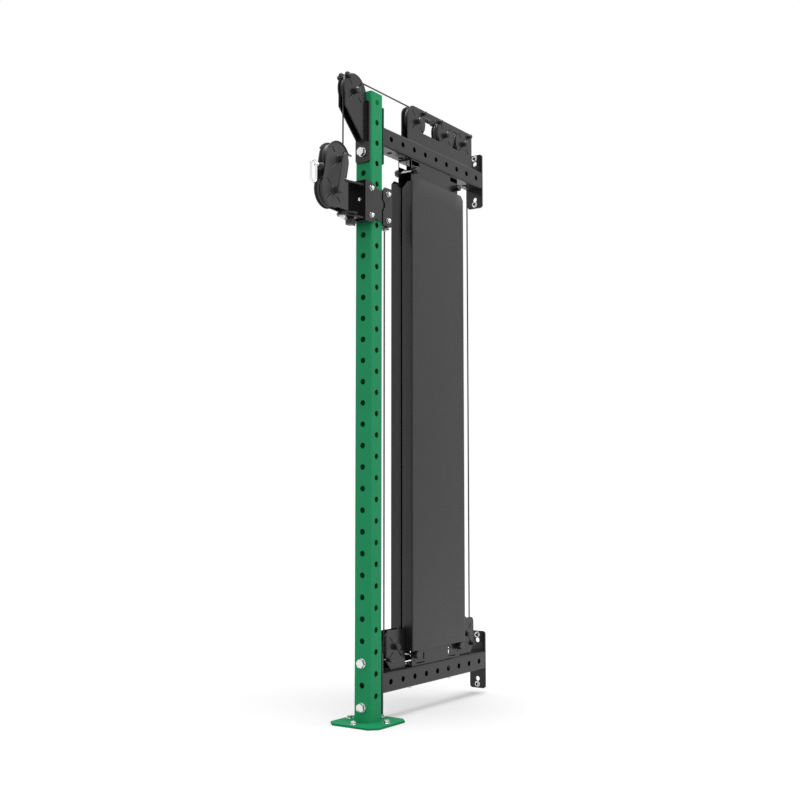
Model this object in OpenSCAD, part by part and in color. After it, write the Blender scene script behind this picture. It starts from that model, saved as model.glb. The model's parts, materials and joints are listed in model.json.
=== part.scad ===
// Wall pulley with an enclosed weight stack and a height adjustable swivel pulley.
// Origin on the floor at the axis of the upright, +Z up, +Y to the wall, millimetres.

/* [Upright and beams] */
// Outside width of the square tubes
tube_w = 75; // [70:1:80]
// Wall of the square tubes
tube_wall = 3.5; // [2.5:0.5:5]
// Outside corner radius of the tubes
tube_r = 8; // [6:0.5:10]
// Diameter of the attachment holes
hole_d = 22; // [18:0.5:24]
// Spacing of the attachment holes
hole_pitch = 80; // [76:1:84]
// Height of the first front hole above the floor
hole_first = 60; // [55:1:70]
// Tube left above the last front hole
top_margin = 78; // [60:1:90]
// Length of each beam between its end plates
beam_l = 738; // [720:1:800]
// Thickness of the flanges, wall plates and bracket back plate
flange_t = 8; // [6:1:10]
// Side of the floor plate
base_w = 220; // [200:5:260]
// Diameter of the frame bolts
frame_bolt_d = 20; // [16:1:20]

/* [Pulleys and cable] */
// Radius from a pulley axle to the middle of the cable
pulley_r = 53; // [50:0.5:56]
// Width of a pulley
pulley_w = 24; // [22:0.5:28]
// Diameter of the cable
cable_d = 6; // [5:0.5:7]
// Thickness of the pulley plates
cheek_t = 5; // [4:0.5:6]
// Diameter of the pulley axles
axle_d = 12; // [10:0.5:14]
// Play between moving pieces
play = 0.5; // [0.4:0.1:0.7]

/* [Weight stack] */
// Plates that stay down when the selector pin is in
resting_count = 9; // [4:1:12]
// Plates that are lifted under the head plate
lifted_count = 6; // [2:1:9]
// Thickness of one weight plate
plate_t = 25; // [20:1:28]
// Length of a weight plate
plate_l = 340; // [320:1:350]
// Width of a weight plate
plate_w = 76; // [70:1:80]
// Diameter of the guide rods
guide_d = 25; // [20:1:28]
// Spacing of the guide rods
guide_gap = 220; // [210:1:230]
// Width of the shroud
shroud_w = 105; // [98:1:110]
// Depth of the shroud
shroud_d = 385; // [375:1:395]
// Sheet of the shroud
shroud_t = 2; // [1.5:0.5:3]
// Width of the slit between the two covers
slit_w = 7; // [6:0.5:10]
// Diameter of the selector pin
pin_d = 9.5; // [8:0.5:11]
// Height that the stack can be lifted
lift_travel = 1250; // [1100:10:1300]

/* [Carriage and swivel] */
// Distance from the upright's axis to the swivel pivot
pivot_reach = 165; // [160:1:175]
// Diameter of the swivel pivot bolt
pivot_d = 12; // [10:0.5:14]
// Width of the two pulleys in the swivel housing
house_w = 32; // [28:0.5:36]
// Turn of the swivel to each side
swivel_a = 45; // [30:1:50]
// Radius of the rear rollers
roller_r = 22; // [20:0.5:24]
// Sheet of the carriage
carriage_t = 3; // [2.5:0.5:4]
// Diameter of the lock pin
lock_d = 18; // [14:0.5:18]
// Diameter of the stopper ball
ball_d = 30; // [28:0.5:36]
// Diameter of the carabiner rod
clip_d = 9; // [8:0.5:10]

/* [Hidden] */
$fn = 48;

// heights of the hole rows, the beams and the carriage
tw = tube_w / 2;
base_t = 8;
last_row = 28;
low_z = hole_first + hole_pitch;
top_z = hole_first + 27 * hole_pitch;
upright_top = hole_first + last_row * hole_pitch + top_margin;
car_z = hole_first + 23.5 * hole_pitch;
beam_y0 = tw + flange_t;
beam_y1 = beam_y0 + beam_l;
wall_y = beam_y1 + flange_t;
beam_hole_span = 320;
anchor_off = 85;
wall_bolt_off = 103;
wall_hole_off = 81;

// pulleys, their axles and the cable's route
rim_r = pulley_r + 5;
gap_w = pulley_w + 2 * play;
cheek_x = gap_w / 2;
out_x = cheek_x + cheek_t;
keep_r = rim_r + 4.5;
keep_k = keep_r * sqrt(0.5);
keep_d = 7;
cap_d = 26;
cap_h = 20;
keep_cap_d = 19;
keep_cap_h = 15;
axle_end = out_x + 10;
end_plate_l = 240;
stack_y = beam_y0 + beam_l / 2;
top_axle_z = top_z + tw + rim_r + 41.5;
low_axle_z = low_z + tw + rim_r + 25.5;
front_y = -pivot_reach;
p0_y = front_y + pulley_r;
p1_y = stack_y - 2 * pulley_r;
p2_y = stack_y + 2 * pulley_r;
p3_y = p2_y + 2 * rim_r + 28.5;
rear_y = p3_y + pulley_r;
anchor_y = 100;
lf_y = anchor_y + pulley_r;
run_z = top_axle_z + pulley_r;
low_run_z = low_axle_z - pulley_r;
frame_axles = [[p0_y, top_axle_z], [p1_y, top_axle_z], [p2_y, top_axle_z],
               [p3_y, top_axle_z], [p3_y, low_axle_z], [lf_y, low_axle_z]];
// each keeper: axle number, direction in Y, direction in Z
keepers = [[0, -1, 1], [1, 1, 1], [2, -1, 1], [3, 1, 1], [4, 1, -1], [5, -1, -1]];

// weight stack inside the shroud
mount_x = 30;
mount_t = 2;
mount_half = 174;
rod_off = 158;
bolt_off = 142;
mount_bolt_d = 12;
shroud_y = stack_y - 4.5;
shroud_z0 = low_z + tw + 61.5;
shroud_z1 = top_z - tw - 78.5;
floor_z = low_z + tw + 84.5;
bumper_h = 25;
stack_z = floor_z + 8 + bumper_h;
plate_gap = 0.4;
pitch_z = plate_t + plate_gap;
lift_z = stack_z + resting_count * pitch_z;
head_z = lift_z + lifted_count * pitch_z;
head_t = 30;
float_z = head_z + head_t + rim_r + 17;
stem_d = 22;
guide_top = top_z - tw - 122.5;

// carriage and swivel housing
side_x = tw + 8.5;
pad_y = -tw - 11.5;
roll_y = tw + roller_r + play;
bolt_z = 52;
lug_z = 54;
lug_t = 8;
lug_lo = car_z - lug_z - 2 * lug_t - 2;
sleeve_y = -tw - 47.5;
ferrule_z = car_z - 80;
pivot_y = front_y;
ha_y = pivot_y - pulley_r;
ha_z = car_z + lug_z + lug_t + 6 + rim_r;
hb_y = ha_y - 27;
hb_z = ha_z - 2 * rim_r - 7;
house_x = house_w / 2 + play;
house_out = house_x + cheek_t;
house_r = rim_r + 5;
lock_reach = 48;
lock_y = pivot_y + lock_reach;
lock_stem_d = 10;
lock_travel = 18;
sector_z = lug_lo + lug_t + 0.5;
sector_t = 6;
ball_y = ha_y - rim_r - 16;
ball_z = ha_z - rim_r + 15;
// where the cable leaves the upper swivel pulley on its way to the ball
ball_dist = sqrt(pow(ball_y - ha_y, 2) + pow(ball_z - ha_z, 2));
leave_a = 180 + atan((ha_z - ball_z) / (ha_y - ball_y)) + acos(pulley_r / ball_dist);
leave_y = ha_y + pulley_r * cos(leave_a);
leave_z = ha_z + pulley_r * sin(leave_a);
tail_l = sqrt(pow(ball_y - leave_y, 2) + pow(ball_z - leave_z, 2));
tail_a = acos((ball_z - leave_z) / tail_l);
eye_y = ball_y - 27.5;
eye_z = ball_z + 2;
eye_r = 10.3;
eye_d = 5.6;
clip_r = 15.5;
clip_y = ball_y - 44;
clip_z1 = eye_z - 4.9;
clip_z0 = ball_z - 52;
gate_z = clip_z0 + 5;

// shapes used by several pieces
module block(x0, x1, y0, y1, z0, z1) {
  translate([x0, y0, z0]) cube([x1 - x0, y1 - y0, z1 - z0]);
}
module bar_x(x0, x1, y, z, d) {
  translate([x0, y, z]) rotate([0, 90, 0]) cylinder(h = x1 - x0, d = d);
}
module bar_y(y0, y1, x, z, d) {
  translate([x, y1, z]) rotate([90, 0, 0]) cylinder(h = y1 - y0, d = d);
}
module bar_z(z0, z1, x, y, d) {
  translate([x, y, z0]) cylinder(h = z1 - z0, d = d);
}
module hex_x(x0, x1, y, z, af) {
  translate([x0, y, z]) rotate([0, 90, 0]) cylinder(h = x1 - x0, d = af / cos(30), $fn = 6);
}
module hex_y(y0, y1, x, z, af) {
  translate([x, y1, z]) rotate([90, 0, 0]) cylinder(h = y1 - y0, d = af / cos(30), $fn = 6);
}
module hex_z(z0, z1, x, y, af) {
  translate([x, y, z0]) cylinder(h = z1 - z0, d = af / cos(30), $fn = 6);
}
module round_rect(w, h, r) {
  square([w - 2 * r, h], center = true);
  square([w, h - 2 * r], center = true);
  for (sx = [-1, 1]) for (sy = [-1, 1])
    translate([sx * (w / 2 - r), sy * (h / 2 - r)]) circle(r = r);
}
// a profile drawn in Y and Z, thick from x0 to x1
module side_plate(x0, x1) {
  translate([x0, 0, 0]) rotate([90, 0, 90]) linear_extrude(x1 - x0) children();
}
// a profile drawn in X and Z, thick from y0 to y1
module front_plate(y0, y1) {
  translate([0, y1, 0]) rotate([90, 0, 0]) linear_extrude(y1 - y0) children();
}
module both_cheeks() {
  side_plate(cheek_x, out_x) children();
  side_plate(-out_x, -cheek_x) children();
}
module box_tube(l) {
  linear_extrude(l) difference() {
    round_rect(tube_w, tube_w, tube_r);
    round_rect(tube_w - 2 * tube_wall, tube_w - 2 * tube_wall, tube_r - tube_wall);
  }
}
// the four slits pressed round each axle hole
module axle_cuts(y, z) {
  translate([y, z]) circle(d = axle_d);
  for (a = [45, 135, 225, 315])
    translate([y, z]) rotate(a) translate([rim_r / 2 - 2, -1.75]) square([rim_r / 2 - 2, 3.5]);
}
module keeper_cut(i) {
  k = keepers[i];
  translate([frame_axles[k[0]][0] + k[1] * keep_k, frame_axles[k[0]][1] + k[2] * keep_k])
    circle(d = keep_d);
}
module dome_x(x0, s, y, z, d, h) {
  translate([x0, y, z]) rotate([0, s * 90, 0]) rotate_extrude() intersection() {
    translate([0, h - d * 0.8]) circle(r = d * 0.8);
    square([d / 2, h]);
  }
}
module pulley(y, z, w) {
  translate([0, y, z]) rotate([0, 90, 0]) rotate_extrude($fn = 96) difference() {
    union() {
      translate([axle_d / 2 + 0.05, -w / 2]) square([9, w]);
      translate([axle_d / 2 + 4, -4]) square([pulley_r - axle_d / 2 - 4, 8]);
      translate([pulley_r - 14, -w / 2 + 1]) square([rim_r - pulley_r + 14, w - 2]);
    }
    translate([pulley_r, 0]) circle(d = cable_d + 2 * 0.4);
    polygon([[pulley_r, -cable_d / 2 - 0.4], [rim_r + 1, -cable_d / 2 - 4],
             [rim_r + 1, cable_d / 2 + 4], [pulley_r, cable_d / 2 + 0.4]]);
    for (s = [-1, 1]) translate([rim_r - 1.5, s * (w / 2 - 1)]) rotate(45)
      square(2.2, center = true);
  }
}
module arc(y, z, a0, a1, r = pulley_r, d = cable_d) {
  translate([0, y, z]) rotate([90, 0, 90]) rotate([0, 0, a0])
    rotate_extrude(angle = a1 - a0, $fn = 96) translate([r, 0]) circle(d = d);
}

// Upright and frame
module upright() {
  color("seagreen") difference() {
    translate([0, 0, base_t]) box_tube(upright_top - base_t);
    for (i = [0 : last_row]) bar_y(-tw - 1, tw + 1, 0, hole_first + i * hole_pitch, hole_d);
    for (i = [0 : last_row])
      bar_x(-tw - 1, tw + 1, 0, hole_first + (i + 0.5) * hole_pitch, hole_d);
  }
}
module upright_base_plate() {
  h = base_w / 2;
  c = base_w * 0.13;
  color("seagreen") difference() {
    linear_extrude(base_t) polygon([[-h + c, -h], [h - c, -h], [h, -h + c], [h, h - c],
      [h - c, h], [-h + c, h], [-h, h - c], [-h, -h + c]]);
    for (a = [0 : 90 : 270]) rotate(a) bar_z(-1, base_t + 1, anchor_off, 0, 14);
  }
}
module anchor_bolts() {
  color("silver") {
    for (a = [0 : 90 : 270]) rotate(a) {
      bar_z(0, base_t + 12, anchor_off, 0, 12);
      bar_z(base_t, base_t + 2, anchor_off, 0, 26);
      hex_z(base_t + 2, base_t + 12, anchor_off, 0, 19);
    }
    for (z = [low_z, top_z]) for (s = [-1, 1]) {
      bar_y(beam_y1 - 8, wall_y, 0, z + s * wall_bolt_off, 11);
      hex_y(beam_y1 - 8, beam_y1, 0, z + s * wall_bolt_off, 17);
    }
  }
}
module beam(z) {
  translate([0, beam_y1, z]) rotate([90, 0, 0]) box_tube(beam_l);
}
module beam_holes(z) {
  for (y = [-beam_hole_span : hole_pitch : beam_hole_span])
    bar_x(-tw - 1, tw + 1, stack_y + y, z, hole_d);
  for (y = [-beam_hole_span + hole_pitch / 2 : hole_pitch : beam_hole_span])
    bar_z(z - tw - 1, z + tw + 1, 0, stack_y + y, hole_d);
  for (s = [-1, 1])
    bar_z(z - tw - 1, z + tw + 1, 0, stack_y + s * bolt_off, mount_bolt_d + 1);
}
module lower_beam() {
  color("dimgray") difference() {
    beam(low_z);
    beam_holes(low_z);
  }
}
module upper_beam() {
  color("dimgray") difference() {
    beam(top_z);
    beam_holes(top_z);
    for (y = [stack_y - pulley_r, stack_y + pulley_r, rear_y])
      bar_z(top_z - tw - 1, top_z + tw + 1, 0, y, cable_d + 10);
  }
}
module beam_flanges() {
  color("dimgray") for (z = [low_z, top_z]) difference() {
    front_plate(tw, beam_y0) translate([0, z]) round_rect(tube_w, 2 * hole_pitch + 65, 5);
    for (s = [-1, 1]) bar_y(tw - 1, beam_y0 + 1, 0, z + s * hole_pitch, frame_bolt_d + 1);
  }
}
module wall_plates() {
  color("dimgray") for (z = [low_z, top_z]) difference() {
    front_plate(beam_y1, wall_y) translate([0, z]) round_rect(tube_w, end_plate_l, 12);
    for (s = [-1, 1]) {
      bar_y(beam_y1 - 1, wall_y + 1, 0, z + s * wall_hole_off, 20);
      bar_y(beam_y1 - 1, wall_y + 1, 0, z + s * wall_bolt_off, 12);
    }
  }
}
module frame_bolts() {
  nut = beam_y0 + 14;
  zu = top_z + tw + cheek_t;
  zl = low_z + tw + 5;
  color("silver") {
    for (z = [low_z - hole_pitch, low_z + hole_pitch, top_z - hole_pitch]) {
      y = z > low_z + hole_pitch ? -tw - flange_t : -tw;
      bar_y(y - 3, nut + 4, 0, z, frame_bolt_d);
      bar_y(y - 3, y, 0, z, 36);
      hex_y(y - 15, y - 3, 0, z, 30);
      hex_y(beam_y0, nut, 0, z, 30);
    }
    bar_y(-tw - flange_t, nut + 4, 0, top_z + hole_pitch, frame_bolt_d);
    hex_y(beam_y0, nut, 0, top_z + hole_pitch, 30);
    for (s = [-1, 1]) {
      hex_z(zu, zu + 8, 0, stack_y + s * bolt_off, 19);
      bar_z(top_z - tw - 20, zu, 0, stack_y + s * bolt_off, mount_bolt_d);
      hex_z(top_z - tw - 16, top_z - tw - 5, 0, stack_y + s * bolt_off, 19);
      hex_z(zl, zl + 8, 0, stack_y + s * bolt_off, 19);
      bar_z(low_z - tw - 14, zl, 0, stack_y + s * bolt_off, mount_bolt_d);
      hex_z(low_z - tw - 11, low_z - tw, 0, stack_y + s * bolt_off, 19);
    }
  }
}

// Brackets with their pulleys
module top_bracket() {
  y0 = -tw - flange_t;
  a = top_axle_z;
  color("dimgray") {
    difference() {
      front_plate(y0, -tw) translate([0, top_z]) round_rect(tube_w - 10, end_plate_l, 10);
      for (s = [-1, 1]) bar_y(y0 - 1, -tw + 1, 0, top_z + s * hole_pitch, frame_bolt_d + 1);
    }
    both_cheeks() difference() {
      union() {
        polygon([[y0, a - 27], [y0, a - 175], [y0 - 19.5, a - 175], [p0_y - 60, a - 72],
                 [p0_y - 60, a + 46], [p0_y - 45, a + 61], [p0_y + 20, a + 61],
                 [p0_y + 55, a + 38], [p0_y + 65, a + 20]]);
        translate([p0_y - 45, a + 46]) circle(r = 15);
        translate([p0_y, a]) circle(r = rim_r + 7.5);
      }
      axle_cuts(p0_y, a);
      keeper_cut(0);
      translate([y0, a - 160]) square([80, 300]);
    }
    difference() {
      block(-cheek_x, cheek_x, y0 - cheek_t, y0, a - 175, a - 27);
      bar_y(y0 - cheek_t - 1, y0 + 1, 0, top_z + hole_pitch, frame_bolt_d + 1);
    }
  }
}
module window_a() {
  difference() {
    translate([stack_y, top_axle_z - 4]) square([p2_y - p1_y, 72], center = true);
    translate([p1_y, top_axle_z]) circle(r = rim_r - 2);
    translate([p2_y, top_axle_z]) circle(r = rim_r + 3);
  }
}
module window_b() {
  m = (p2_y + p3_y) / 2;
  difference() {
    translate([m, top_axle_z - 4]) square([41, 72], center = true);
    translate([p2_y, top_axle_z]) circle(r = rim_r + 6);
    translate([p3_y, top_axle_z]) circle(r = rim_r + 6);
  }
}
module beam_pulley_bracket() {
  z0 = top_z + tw;
  z1 = top_axle_z + rim_r;
  y0 = p1_y - rim_r - 11.5;
  y1 = p3_y + rim_r + 8;
  color("dimgray") {
    both_cheeks() difference() {
      union() {
        translate([y0, z0]) square([y1 - y0, z1 - z0 - 45]);
        translate([y0 + 45, z0]) square([y1 - y0 - 55, z1 - z0]);
        translate([y0, z0]) square([y1 - y0, 20]);
        translate([y0 + 45, z1 - 45]) circle(r = 45);
        translate([y1 - 20, z0]) square([20, z1 - z0 - 10]);
        translate([y1 - 10, z1 - 10]) circle(r = 10);
      }
      for (y = [p1_y, p2_y, p3_y]) axle_cuts(y, top_axle_z);
      for (i = [1 : 3]) keeper_cut(i);
      window_a();
      window_b();
    }
    difference() {
      block(-cheek_x, cheek_x, y0, y1, z0, z0 + cheek_t);
      for (s = [-1, 1])
        bar_z(z0 - 1, z0 + cheek_t + 1, 0, stack_y + s * bolt_off, mount_bolt_d + 1);
      for (y = [stack_y - pulley_r, stack_y + pulley_r, rear_y])
        bar_z(z0 - 1, z0 + cheek_t + 1, 0, y, cable_d + 10);
    }
  }
}
// s is -1 for the front bracket and 1 for the rear one
module low_bracket(y, s, i) {
  z0 = low_z + tw;
  a = low_axle_z;
  {
    both_cheeks() difference() {
      union() {
        polygon([[y - s * (rim_r + 4), z0], [y + s * 31, z0], [y + s * (rim_r + 2), a - 50],
                 [y + s * (rim_r + 2), a + rim_r - 13], [y + s * (rim_r - 18), a + rim_r + 7],
                 [y - s * (rim_r - 16), a + rim_r + 7], [y - s * (rim_r + 4), a + rim_r - 13]]);
        translate([y + s * (rim_r - 18), a + rim_r - 13]) circle(r = 20);
        translate([y - s * (rim_r - 16), a + rim_r - 13]) circle(r = 20);
      }
      axle_cuts(y, a);
      keeper_cut(i);
    }
    block(-cheek_x, cheek_x, min(y - s * (rim_r + 4), y + s * 31),
          max(y - s * (rim_r + 4), y + s * 31), z0, z0 + cheek_t);
  }
}
module lower_brackets() {
  color("dimgray") {
    low_bracket(lf_y, -1, 5);
    low_bracket(p3_y, 1, 4);
  }
}
module pulley_axles() {
  color("silver") {
    for (p = frame_axles) bar_x(-axle_end, axle_end, p[0], p[1], axle_d);
    for (k = keepers) bar_x(-axle_end, axle_end, frame_axles[k[0]][0] + k[1] * keep_k,
      frame_axles[k[0]][1] + k[2] * keep_k, keep_d);
  }
}
// a push on cap of height h on the plate at x, its domed head wider than its skirt
module cap(s, x, y, z, d, h, bore) {
  mirror([s > 0 ? 0 : 1, 0, 0]) difference() {
    union() {
      bar_x(x, x + h * 0.6, y, z, d - 4);
      dome_x(x + h * 0.6, 1, y, z, d, h * 0.4);
    }
    bar_x(x - 1, x + axle_end - out_x, y, z, bore);
  }
}
module axle_caps() {
  color([0.1, 0.1, 0.1]) for (s = [-1, 1]) {
    for (p = frame_axles) cap(s, out_x, p[0], p[1], cap_d, cap_h, axle_d);
    for (k = keepers) cap(s, out_x, frame_axles[k[0]][0] + k[1] * keep_k,
      frame_axles[k[0]][1] + k[2] * keep_k, keep_cap_d, keep_cap_h, keep_d);
  }
}
module pulley_top_front() color("black") pulley(p0_y, top_axle_z, pulley_w);
module pulley_stack_front() color("black") pulley(p1_y, top_axle_z, pulley_w);
module pulley_stack_rear() color("black") pulley(p2_y, top_axle_z, pulley_w);
module pulley_top_rear() color("black") pulley(p3_y, top_axle_z, pulley_w);
module pulley_lower_rear() color("black") pulley(p3_y, low_axle_z, pulley_w);
module pulley_lower_front() color("black") pulley(lf_y, low_axle_z, pulley_w);

// Stack mounts, shroud and guide rods
module mount_sides() {
  side_plate(mount_x, mount_x + mount_t) children();
  side_plate(-mount_x - mount_t, -mount_x) children();
}
module stack_mount_lower() {
  z0 = low_z + tw;
  color("dimgray") {
    mount_sides() difference() {
      translate([stack_y - mount_half, z0]) square([2 * mount_half, floor_z + 18 - z0]);
      for (s = [-1, 1]) {
        translate([stack_y + s * (guide_gap / 2 - 19) - 4, z0 + 20.5]) square([8, 25.5]);
        translate([stack_y + s * (guide_gap / 2 + 4) - 29, z0 + 7]) square([rod_off - 100, 4]);
        translate([stack_y + s * rod_off - 2, z0 + 20.5]) square([4, 12]);
        translate([stack_y + s * rod_off, z0 + 44.5]) circle(d = 12);
      }
    }
    difference() {
      block(-mount_x, mount_x, stack_y - mount_half, stack_y + mount_half, z0, z0 + 5);
      for (s = [-1, 1]) bar_z(z0 - 1, z0 + 6, 0, stack_y + s * bolt_off, mount_bolt_d + 1);
    }
    block(-mount_x, mount_x, stack_y - rod_off + 18, stack_y + rod_off - 18, floor_z, floor_z + 8);
  }
}
module stack_mount_upper() {
  z1 = top_z - tw;
  color("dimgray") {
    mount_sides() difference() {
      translate([stack_y - mount_half, guide_top - 20])
        square([2 * mount_half, z1 - guide_top + 20]);
      for (s = [-1, 1]) {
        translate([stack_y + s * (bolt_off + 1.5) - 26.5, z1 - 23.5]) square([rod_off - 105, 18]);
        translate([stack_y + s * rod_off, z1 - 45.5]) circle(d = 12);
      }
    }
    difference() {
      block(-mount_x, mount_x, stack_y - mount_half, stack_y + mount_half, z1 - 5, z1);
      for (s = [-1, 1]) bar_z(z1 - 6, z1 + 1, 0, stack_y + s * bolt_off, mount_bolt_d + 1);
      for (s = [-1, 1]) bar_z(z1 - 6, z1 + 1, 0, stack_y + s * pulley_r, cable_d + 10);
    }
    for (s = [-1, 1]) block(-mount_x, mount_x, stack_y + s * guide_gap / 2 - 20,
      stack_y + s * guide_gap / 2 + 20, guide_top, guide_top + 8);
  }
}
module mount_rods() {
  color("silver") for (z = [low_z + tw + 44.5, top_z - tw - 45.5]) for (s = [-1, 1])
    bar_x(-mount_x - mount_t - 3, mount_x + mount_t + 3, stack_y + s * rod_off, z, 12);
}
module mount_knobs() {
  x = mount_x + mount_t;
  color([0.1, 0.1, 0.1]) for (z = [low_z + tw + 44.5, top_z - tw - 45.5]) for (s = [-1, 1])
    for (t = [-1, 1]) difference() {
      union() {
        translate([t > 0 ? x : -x - 22, 0, 0])
          bar_x(0, 22, stack_y + s * rod_off, z, 24);
        for (a = [0 : 60 : 300])
          translate([t > 0 ? x + 4 : -x - 22, 0, 0])
            bar_x(0, 18, stack_y + s * rod_off + 11 * cos(a), z + 11 * sin(a), 7);
      }
      bar_x(-x - 3, x + 3, stack_y + s * rod_off, z, 12);
    }
}
// the selector pin passes through this slot in the left cover as the stack rises
module pin_slot() {
  translate([stack_y - pin_d / 2 - 3, stack_z])
    square([pin_d + 6, head_z + lift_travel - stack_z]);
  for (z = [stack_z, head_z + lift_travel]) translate([stack_y, z]) circle(d = pin_d + 6);
}
// one C shaped cover, s is 1 on the right and -1 on the left
module cover(s) {
  x0 = slit_w / 2;
  x1 = shroud_w / 2;
  y0 = shroud_y - shroud_d / 2;
  y1 = shroud_y + shroud_d / 2;
  c = 20;
  // the rear walls stand clear of the lower rear pulley and its bracket
  notch_x = out_x + 1.5;
  notch_z = low_axle_z + rim_r + 12;
  mirror([s > 0 ? 0 : 1, 0, 0]) {
    side_plate(x1 - shroud_t, x1) difference() {
      polygon([[y0, shroud_z0], [y1, shroud_z0], [y1, shroud_z1 - c], [y1 - c, shroud_z1],
               [y0 + c, shroud_z1], [y0, shroud_z1 - c]]);
      if (s < 0) pin_slot();
    }
    for (y = [y0, y1 - shroud_t]) front_plate(y, y + shroud_t) difference() {
      polygon([[x0, shroud_z0], [x1 - shroud_t, shroud_z0], [x1 - shroud_t, shroud_z1 - c],
               [x0 + 25.5, shroud_z1 - c], [x0, shroud_z1 - c - 25.5]]);
      if (y > y0) translate([0, shroud_z0 - 1]) square([notch_x, notch_z - shroud_z0 + 1]);
    }
    for (z = [floor_z + 4, guide_top + 4]) for (t = [-1, 1])
      bar_x(mount_x + mount_t, x1 - shroud_t, stack_y + t * 150, z, 14);
  }
}
module shroud_left() color([0.2, 0.2, 0.2]) cover(-1);
module shroud_right() color([0.2, 0.2, 0.2]) cover(1);
module guide_rods() {
  color("silver") for (s = [-1, 1])
    bar_z(floor_z + 8, guide_top, 0, stack_y + s * guide_gap / 2, guide_d);
}
module stack_bumpers() {
  color([0.05, 0.05, 0.05]) for (s = [-1, 1]) difference() {
    bar_z(floor_z + 8, floor_z + 8 + bumper_h, 0, stack_y + s * guide_gap / 2, guide_d + 22);
    bar_z(floor_z + 7, floor_z + 9 + bumper_h, 0, stack_y + s * guide_gap / 2, guide_d);
  }
}

// Weight plates, head plate, stem and the floating pulley
module weight_plate(z, t) {
  difference() {
    translate([0, stack_y, z]) linear_extrude(t) round_rect(plate_w, plate_l, 6);
    for (s = [-1, 1])
      bar_z(z - 1, z + t + 1, 0, stack_y + s * guide_gap / 2, guide_d + 2 * play);
    bar_z(z - 1, z + t + 1, 0, stack_y, stem_d + 2 * play);
    bar_x(-plate_w / 2 - 1, 0, stack_y, z + t / 2, pin_d + 2 * play);
  }
}
module resting_plates() {
  color([0.25, 0.25, 0.27])
    for (i = [0 : resting_count - 1]) weight_plate(stack_z + i * pitch_z + 0.2, plate_t);
}
module lifted_plates() {
  color([0.25, 0.25, 0.27])
    for (i = [0 : lifted_count - 1]) weight_plate(lift_z + i * pitch_z + 0.2, plate_t);
}
module head_plate() {
  color([0.25, 0.25, 0.27]) difference() {
    translate([0, stack_y, head_z + 0.2]) linear_extrude(head_t - 0.2)
      round_rect(plate_w, plate_l, 6);
    for (s = [-1, 1]) bar_z(head_z - 1, head_z + head_t + 1, 0,
      stack_y + s * guide_gap / 2, guide_d + 2 * play);
    bar_z(head_z - 1, head_z + head_t + 1, 0, stack_y, stem_d);
  }
}
module selector_stem() {
  n = resting_count + lifted_count;
  color("silver") difference() {
    bar_z(stack_z + 4, head_z + head_t, 0, stack_y, stem_d);
    for (i = [0 : n - 1])
      bar_x(-stem_d, stem_d, stack_y, stack_z + i * pitch_z + 0.2 + plate_t / 2,
            pin_d + 2 * play);
  }
}
module pulley_yoke() {
  z0 = head_z + head_t;
  color("dimgray") both_cheeks() difference() {
    union() {
      translate([stack_y - 22, z0]) square([44, float_z - z0]);
      translate([stack_y, float_z]) circle(r = 22);
      translate([stack_y - 40, z0]) square([80, 14]);
    }
    translate([stack_y, float_z]) circle(d = axle_d);
  }
  color("silver") bar_x(-out_x, out_x, stack_y, float_z, axle_d);
  color([0.1, 0.1, 0.1]) for (s = [-1, 1]) dome_x(s * out_x, s, stack_y, float_z, cap_d - 4, 6);
}
module floating_pulley() color("black") pulley(stack_y, float_z, pulley_w);
module selector_pin() {
  z = lift_z + 0.2 + plate_t / 2;
  x = -shroud_w / 2 - 4;
  color("silver") bar_x(x, stem_d / 2 - 2, stack_y, z, pin_d);
  color("firebrick") {
    bar_x(x - 6, x, stack_y, z, 24);
    bar_x(x - 16, x - 6, stack_y, z, 14);
    bar_x(x - 26, x - 16, stack_y, z, 26);
  }
}

// Carriage
module bulge() {
  polygon([[tw - 20, car_z - 24.4], [tw - 19, car_z - 23], [tw - 7, car_z - 4],
           [tw - 7, car_z + 14], [tw - 19, car_z + 24], [tw - 20, car_z + 24.7]]);
}
module sleeve_side() {
  z = car_z;
  f = sleeve_y;
  difference() {
    union() {
      polygon([[f, z - 78], [-tw + 8.5, z - 78], [-tw + 8.5, z - 66], [-tw + 25.5, z - 58],
               [-tw + 25.5, z - 62], [tw - 19, z - 62], [tw - 19, z + 57],
               [-tw + 32.5, z + 57], [-tw - 12.5, z + 78], [f, z + 78]]);
      bulge();
    }
    for (s = [-1, 1]) translate([pad_y, z + s * bolt_z]) circle(d = 10);
  }
}
module lug(z0) {
  w = side_x - 7;
  difference() {
    translate([0, 0, z0]) linear_extrude(lug_t) {
      polygon([[-w, sleeve_y], [w, sleeve_y], [21.4, pivot_y + 5], [-21.4, pivot_y + 5]]);
      translate([0, pivot_y]) circle(r = 22);
    }
    bar_z(z0 - 1, z0 + lug_t + 1, 0, pivot_y, pivot_d);
    if (z0 < car_z) bar_z(z0 - 1, z0 + lug_t + 1, 0, lock_y, lock_stem_d + 0.6);
  }
}
module carriage_sleeve() {
  f = sleeve_y;
  color([0.15, 0.15, 0.15]) {
    difference() {
      for (s = [0, 1]) mirror([s, 0, 0]) side_plate(side_x - carriage_t, side_x) sleeve_side();
      bar_x(-side_x - 1, 0, 0, car_z, lock_d + 2 * play);
    }
    block(-side_x + carriage_t, side_x - carriage_t, f, f + carriage_t, car_z - 78, car_z + 78);
    lug(car_z + lug_z);
    lug(lug_lo);
  }
}
module rear_side() {
  z = car_z;
  difference() {
    union() {
      translate([tw - 9, z - 73]) square([58.5, 134]);
      translate([tw + 8, z - 73]) square([41.5, 149]);
      translate([tw + 8, z + 59]) circle(r = 17);
    }
    translate([9.9, 0]) bulge();
    for (s = [-1, 1]) translate([roll_y, z + s * bolt_z]) circle(d = 10);
  }
}
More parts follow.
